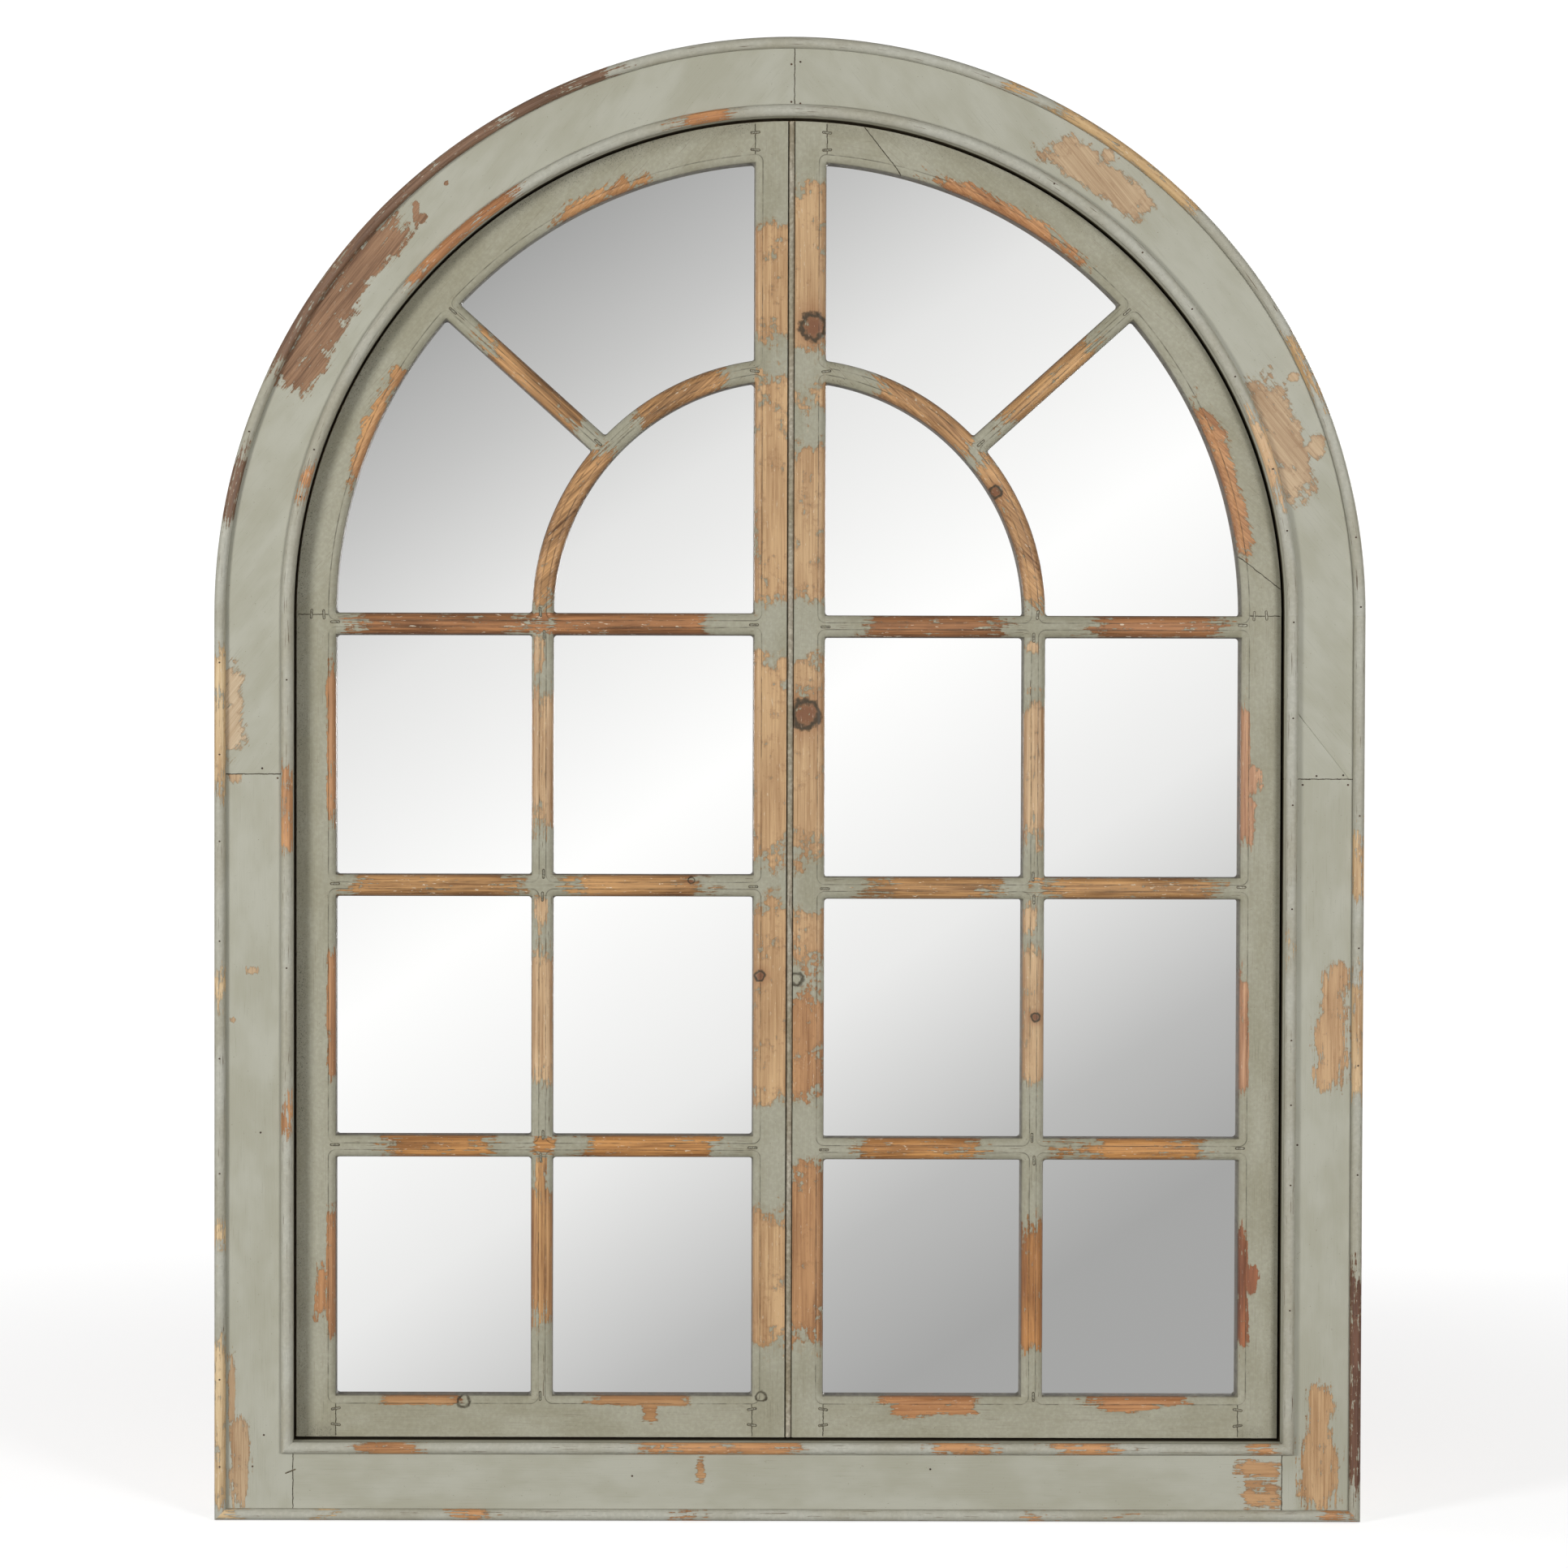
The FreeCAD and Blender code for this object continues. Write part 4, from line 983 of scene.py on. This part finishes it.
def dull(name, first, second, roughness, metal=0.0):
    """A mottled dull surface between two colours."""
    mat, tree, shader, place = material(name)
    spots = place.noise(900.0, 4.0, 0.65)
    shaded(tree, shader, spots, 0.00008, Base_Color=spots.ramp(0.38, 0.60).mix(srgb(*first), srgb(*second)),
           Roughness=spots.ramp(0.3, 0.7, roughness + 0.12, roughness - 0.08), Metallic=metal)
    return mat


crowns = []
for side, way, edge_x, pane_x, bars, scarfs in leaves:
    right_hand = []
    for row, bar_top in enumerate(bars):
        middle = bar_top - BAR_W / 2
        right_hand += [(pane_x, middle - 0.0006, 0.0), (PANE_R + 0.0008, middle + 0.0012, 0.0)]
        right_hand += [(UPRIGHT_X + 0.001 * (row - 1), bar_top - BAR_W, 90.0)]
        if row:
            right_hand += [(UPRIGHT_X - 0.0008, bar_top + 0.0005, 90.0)]
    right_hand += [(UPRIGHT_X + 0.0012, PANE_Z, 90.0), (UPRIGHT_X + 0.002, bars[0] + 0.0004, 84.0)]
    for x in (pane_x, PANE_R):
        right_hand += [(x, SASH_Z + 0.010, 8.0), (x, SASH_Z + 0.023, -10.0)]
    head_z = circle_z(PANE_R, pane_x)
    right_hand += [(pane_x, head_z + 0.010, 4.0), (pane_x, head_z + 0.024, -6.0)]
    right_hand += [(PANE_R + 0.010, ARCH_Z, 86.0), (PANE_R + 0.020, ARCH_Z + 0.0005, 95.0)]
    right_hand += [(pane_x, (circle_z(INNER_R, pane_x) + circle_z(OUTER_PANE_R, pane_x)) / 2, 8.0)]
    right_hand += [(*ray_at(radius, 0.0), math.degrees(RAY_TURN)) for radius in (OUTER_PANE_R, PANE_R)]
    crowns += [(way * x, z, way * angle) for x, z, angle in right_hand]
dent_shades = capsules("sash_staple_dent_shades", crowns, STAPLE_LONG + DENT_LONGER, STAPLE_WIRE + DENT_WIDER,
                 SASH_FRONT_Y + 0.0006, SASH_FRONT_Y - 0.00004)
new_piece("sash_staple_dent_shades", dent_shades, dull("dark_glaze", (52, 44, 30), (96, 86, 62), 0.55))
wires = capsules("sash_staples", crowns, STAPLE_LONG, STAPLE_WIRE, SASH_FRONT_Y + 0.0008, SASH_FRONT_Y - 0.00022)
new_piece("sash_staples", wires, dull("painted_staple", (96, 92, 78), (150, 148, 130), 0.45, 0.35))
foot_wire = capsules("casing_staple", [(*photo(358, 1815), 22.0)], LONG_STAPLE, STAPLE_WIRE,
                     CASING_FRONT_Y + 0.0006, CASING_FRONT_Y - 0.00012)
new_piece("casing_staple", foot_wire, dull("dark_staple", (58, 50, 38), (108, 98, 76), 0.5, 0.3))


# ================================================================ pins through the casing and its beads
# Small wire brads, driven flush and painted over. Their heads have rusted through as dark dots. The
# places are photo pixels.
FACE_BRADS = [(973, 79), (984, 76), (973, 125), (984, 127), (323, 945), (342, 957), (1623, 952), (1656, 951),
              (1606, 963), (1662, 963), (321, 1395), (1602, 1408), (781, 1820), (1150, 1811), (311, 1809),
              (325, 1770)]
INNER_BRADS = [(1302, 215), (1403, 311), (1464, 380), (1518, 462), (1578, 571), (1581, 651), (1593, 763),
               (1592, 881), (1592, 988), (1590, 1116), (1586, 1278), (1588, 1358), (1587, 1457), (1586, 1612),
               (378, 550), (374, 612), (354, 836), (355, 1191)]
OUTER_BRADS = [(307, 531), (270, 815), (268, 928), (270, 1035), (271, 1158), (271, 1303), (271, 1445),
               (270, 1700), (272, 1808), (1672, 658), (1677, 744), (1678, 1001), (1675, 1164), (1674, 1309),
               (1671, 1444), (1672, 1618)]
BEAD_TOP_Y = CASING_FRONT_Y - BEAD_H
FACE_HEAD, BEAD_HEAD = (0.0019, 0.0018), (0.0017, 0.0016)  # length and width of a brad's dark dot


def on_bead(spot, middle):
    """The nearest place on the middle line of an arched bead."""
    x, z = photo(*spot)
    if z < ARCH_Z:
        return math.copysign(middle, x), z, 0.0
    share = middle / math.hypot(x, z - ARCH_Z)
    return x * share, ARCH_Z + (z - ARCH_Z) * share, 0.0


rusty = dull("rusted_brad", (38, 28, 22), (84, 62, 44), 0.6, 0.2)
face_spots = [(*photo(*spot), 0.0) for spot in FACE_BRADS]
face_dots = capsules("casing_brads", face_spots, *FACE_HEAD, CASING_FRONT_Y + 0.0006, CASING_FRONT_Y - 0.00004)
new_piece("casing_brads", face_dots, rusty)
bead_spots = [on_bead(spot, INNER_MID) for spot in INNER_BRADS] + [on_bead(spot, OUTER_MID) for spot in OUTER_BRADS]
bead_dots = capsules("bead_brads", bead_spots, *BEAD_HEAD, BEAD_TOP_Y + 0.0009, BEAD_TOP_Y)
new_piece("bead_brads", bead_dots, rusty)


# ================================================================ bead between the leaves
# A narrow half-round strip glued to the right leaf's meeting edge. Its paint is greyer than the rest
# and finely pitted.
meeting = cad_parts["meeting_bead"]
# The bead's deeper sides darken towards the sash face: painted shade in the crease, with some dark glazing.
clothed(meeting, painted_wood("meeting_bead_paint", 90.0, paint_tone=(190, 182, 164), dusk=(160, 148, 122),
                              seed=91.0, dirt=0.42, streak=0.2, hair=0.8, chip=0.3,
                              glaze=(SASH_FRONT_Y + 0.0012, SASH_FRONT_Y + 0.0024)))
smoothed(meeting)


# ================================================================ mirror plate
# One silvered glass plate, three millimetres thick, behind all eighteen panes.
# The silver is a hair uneven.
glass_mat, glass_tree, glass, place = material("silvered_glass")
silver = place.noise(7.0).mix((0.985, 0.985, 0.985, 1.0), (0.965, 0.967, 0.967, 1.0))
shaded(glass_tree, glass, Base_Color=silver, Metallic=1.0, Roughness=0.01)
clothed(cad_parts["mirror_plate"], glass_mat)


# ================================================================ back panel
# Brown hardboard, smooth side out, pressed from wood fibre. It lies behind the mirror plate
# and closes the back frame.
board_mat, board_tree, board, place = material("hardboard")
fibres = place.stretched(700.0, 700.0, 500.0).noise(1.0, 4.0, 0.7)
tint = fibres.mix(srgb(140, 108, 76), srgb(182, 150, 112))
tint = (place.noise(14.0, 4.0, 0.6) * 0.5).mix(tint, srgb(122, 92, 64))
shaded(board_tree, board, fibres, 0.0002, Base_Color=tint, Roughness=0.62)
clothed(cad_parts["back_panel"], board_mat)


# ================================================================ back frame
# Five unpainted pine members glued and stapled to the casing's back. Their inner edges carry the
# leaves, the mirror plate and the panel.
BACK = {"back_arch_left": 50.0, "back_arch_right": -50.0, "back_stile_left": 90.0, "back_stile_right": 90.0,
        "back_bottom_rail": 0.0}
for number, (node, grain) in enumerate(BACK.items()):
    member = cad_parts[node]
    clothed(member, painted_wood(node + "_pine", grain, seed=120.0 + number * 4.1, base=2.5, streak=0.1,
                                 pale=(222, 196, 156), dark=(186, 148, 106)))
    eased(member, 0.0006)


# ================================================================ points and hangers
# Flat steel points driven into the back frame hold the panel. Two zinc-plated ring hangers are each
# screwed on with two pan-head screws.
def steel(name, pale, dark, rough):
    mat, tree, shader, place = material(name)
    spots = place.noise(260.0, 4.0, 0.65)
    shaded(tree, shader, place.noise(1500.0, 2.0), 0.00003, Metallic=1.0,
           Base_Color=spots.ramp(0.35, 0.7).mix((*pale, 1.0), (*dark, 1.0)),
           Roughness=spots.ramp(0.3, 0.7, rough, rough + 0.18))
    return mat


zinc = steel("zinc_plate", (0.70, 0.71, 0.72), (0.52, 0.53, 0.55), 0.28)
for node in ("hanger_strap_left", "hanger_strap_right", "hanger_ring_left", "hanger_ring_right", "hanger_screws"):
    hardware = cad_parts[node]
    clothed(hardware, zinc)
    eased(hardware, 0.00025)
clothed(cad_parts["panel_points"], steel("plain_steel", (0.42, 0.41, 0.40), (0.30, 0.28, 0.26), 0.38))


# ================================================================ floor, reflected screen and light
# A pale floor, a tall graded screen behind the camera that only the mirror and the light see, a soft
# light on either side in front and one behind, and a pale room.
def staged(name, corners, mat, *unseen_by):
    """A flat sheet beside the object, left out for some kinds of ray."""
    mesh = bpy.data.meshes.new(name)
    mesh.from_pydata(corners, [], [(0, 1, 2, 3)])
    sheet = bpy.data.objects.new(name, mesh)
    bpy.context.scene.collection.objects.link(sheet)
    clothed(sheet, mat)
    for ray in unseen_by:
        setattr(sheet, "visible_" + ray, False)
    return sheet


def grey(level):
    return level, level, level, 1.0


FLOOR_Z = -0.0006
floor_mat, floor_tree, floor_shader, place = material("pale_floor")
dust = place.noise(60.0, 2.0).mix(grey(0.93), grey(0.90))
fade = length(*place.split()).ramp(0.6, 3.2).mix(grey(0.62), grey(0.97))
shaded(floor_tree, floor_shader, Base_Color=dust, Roughness=0.8, Emission_Color=fade, Emission_Strength=1.0)
floor = staged("floor", [(-9, -9, FLOOR_Z), (9, -9, FLOOR_Z), (9, 9, FLOOR_Z), (-9, 9, FLOOR_Z)], floor_mat,
               "glossy", "diffuse")

CARD_Y = -4.6
SLANT_FIRST, SLANT_RANGE = 600.0, 1600.0
card_mat = bpy.data.materials.new("graded_screen")
card_mat.use_nodes = True
card_tree = card_mat.node_tree
card_tree.nodes.clear()
card_x, _, card_z = Flow(card_tree, card_tree.nodes.new("ShaderNodeTexCoord").outputs["Object"]).split()
# A spot of the screen is seen at the mirror place P = V + (spot - V) / k, with V the camera's image.
CAMERA_AWAY = 3.124
reach = (SASH_BACK_Y - CARD_Y) / (CAMERA_AWAY + SASH_BACK_Y)
mirror_x = (card_x + CAMERA_PLACE[0] * reach) * (1.0 / (1.0 + reach))
mirror_z = (card_z + CAMERA_PLACE[2] * reach) * (1.0 / (1.0 + reach))
slant = mirror_x * 849.0 - mirror_z * 1265.0 + 2098.0
band = card_tree.nodes.new("ShaderNodeValToRGB")
feed(card_tree, (slant - SLANT_FIRST) * (1.0 / SLANT_RANGE), band.inputs[0])
GREYS = [(600, 163), (780, 197), (960, 229), (1283, 255), (1600, 234), (1860, 187), (2040, 165)]
while len(band.color_ramp.elements) < len(GREYS):
    band.color_ramp.elements.new(0.5)
for element, (slant_at, level) in zip(band.color_ramp.elements, GREYS):
    element.position = (slant_at - SLANT_FIRST) / SLANT_RANGE
    element.color = srgb(level, level, level - 1)
glow = card_tree.nodes.new("ShaderNodeEmission")
glow.inputs[1].default_value = 1.03
feed(card_tree, band.outputs[0], glow.inputs[0])
feed(card_tree, glow.outputs[0], card_tree.nodes.new("ShaderNodeOutputMaterial").inputs[0])
staged("graded_screen", [(-5, CARD_Y, -4), (5, CARD_Y, -4), (5, CARD_Y, 5), (-5, CARD_Y, 5)], card_mat,
       "camera", "diffuse", "shadow")


def soft_light(name, place, size, watts):
    data = bpy.data.lights.new(name, "AREA")
    data.shape = "SQUARE"
    data.size = size
    data.energy = watts
    lamp = bpy.data.objects.new(name, data)
    lamp.location = place
    lamp.rotation_euler = (Vector((0.0, 0.0, 0.6)) - Vector(place)).to_track_quat("-Z", "Y").to_euler()
    bpy.context.scene.collection.objects.link(lamp)
    return lamp


soft_light("lamp_left", (-2.66, -2.57, 0.85), 0.8, 76.0)
soft_light("lamp_right", (1.75, -3.25, 0.80), 0.8, 64.0)
lamp_rear = soft_light("lamp_rear", (2.5, 2.9, 2.0), 1.4, 110.0)
lamp_rear.visible_camera = False
kept_dark = bpy.data.collections.new("kept_out_of_the_rear_light")
kept_dark.objects.link(floor)
kept_dark.collection_objects[0].light_linking.link_state = "EXCLUDE"
lamp_rear.light_linking.receiver_collection = kept_dark

world = bpy.data.worlds.new("studio")
bpy.context.scene.world = world
world.use_nodes = True
sky = world.node_tree
sky.nodes.clear()
rays = sky.nodes.new("ShaderNodeLightPath").outputs
room, white = (sky.nodes.new("ShaderNodeBackground") for _ in range(2))
for backdrop in (room, white):
    backdrop.inputs[0].default_value = grey(1.0)
# Reflections see the room brighter (0.60) than the light it sheds on the object (0.17), a painted brightening of
# reflections; the camera sees it white.
feed(sky, Flow(sky, rays["Is Glossy Ray"]) * 0.43 + 0.17, room.inputs[1])
white.inputs[1].default_value = 1.1
either = sky.nodes.new("ShaderNodeMixShader")
for source, socket in zip((rays["Is Camera Ray"], room.outputs[0], white.outputs[0]), either.inputs):
    feed(sky, source, socket)
feed(sky, either.outputs[0], sky.nodes.new("ShaderNodeOutputWorld").inputs[0])
bpy.context.scene.view_settings.view_transform = "Standard"
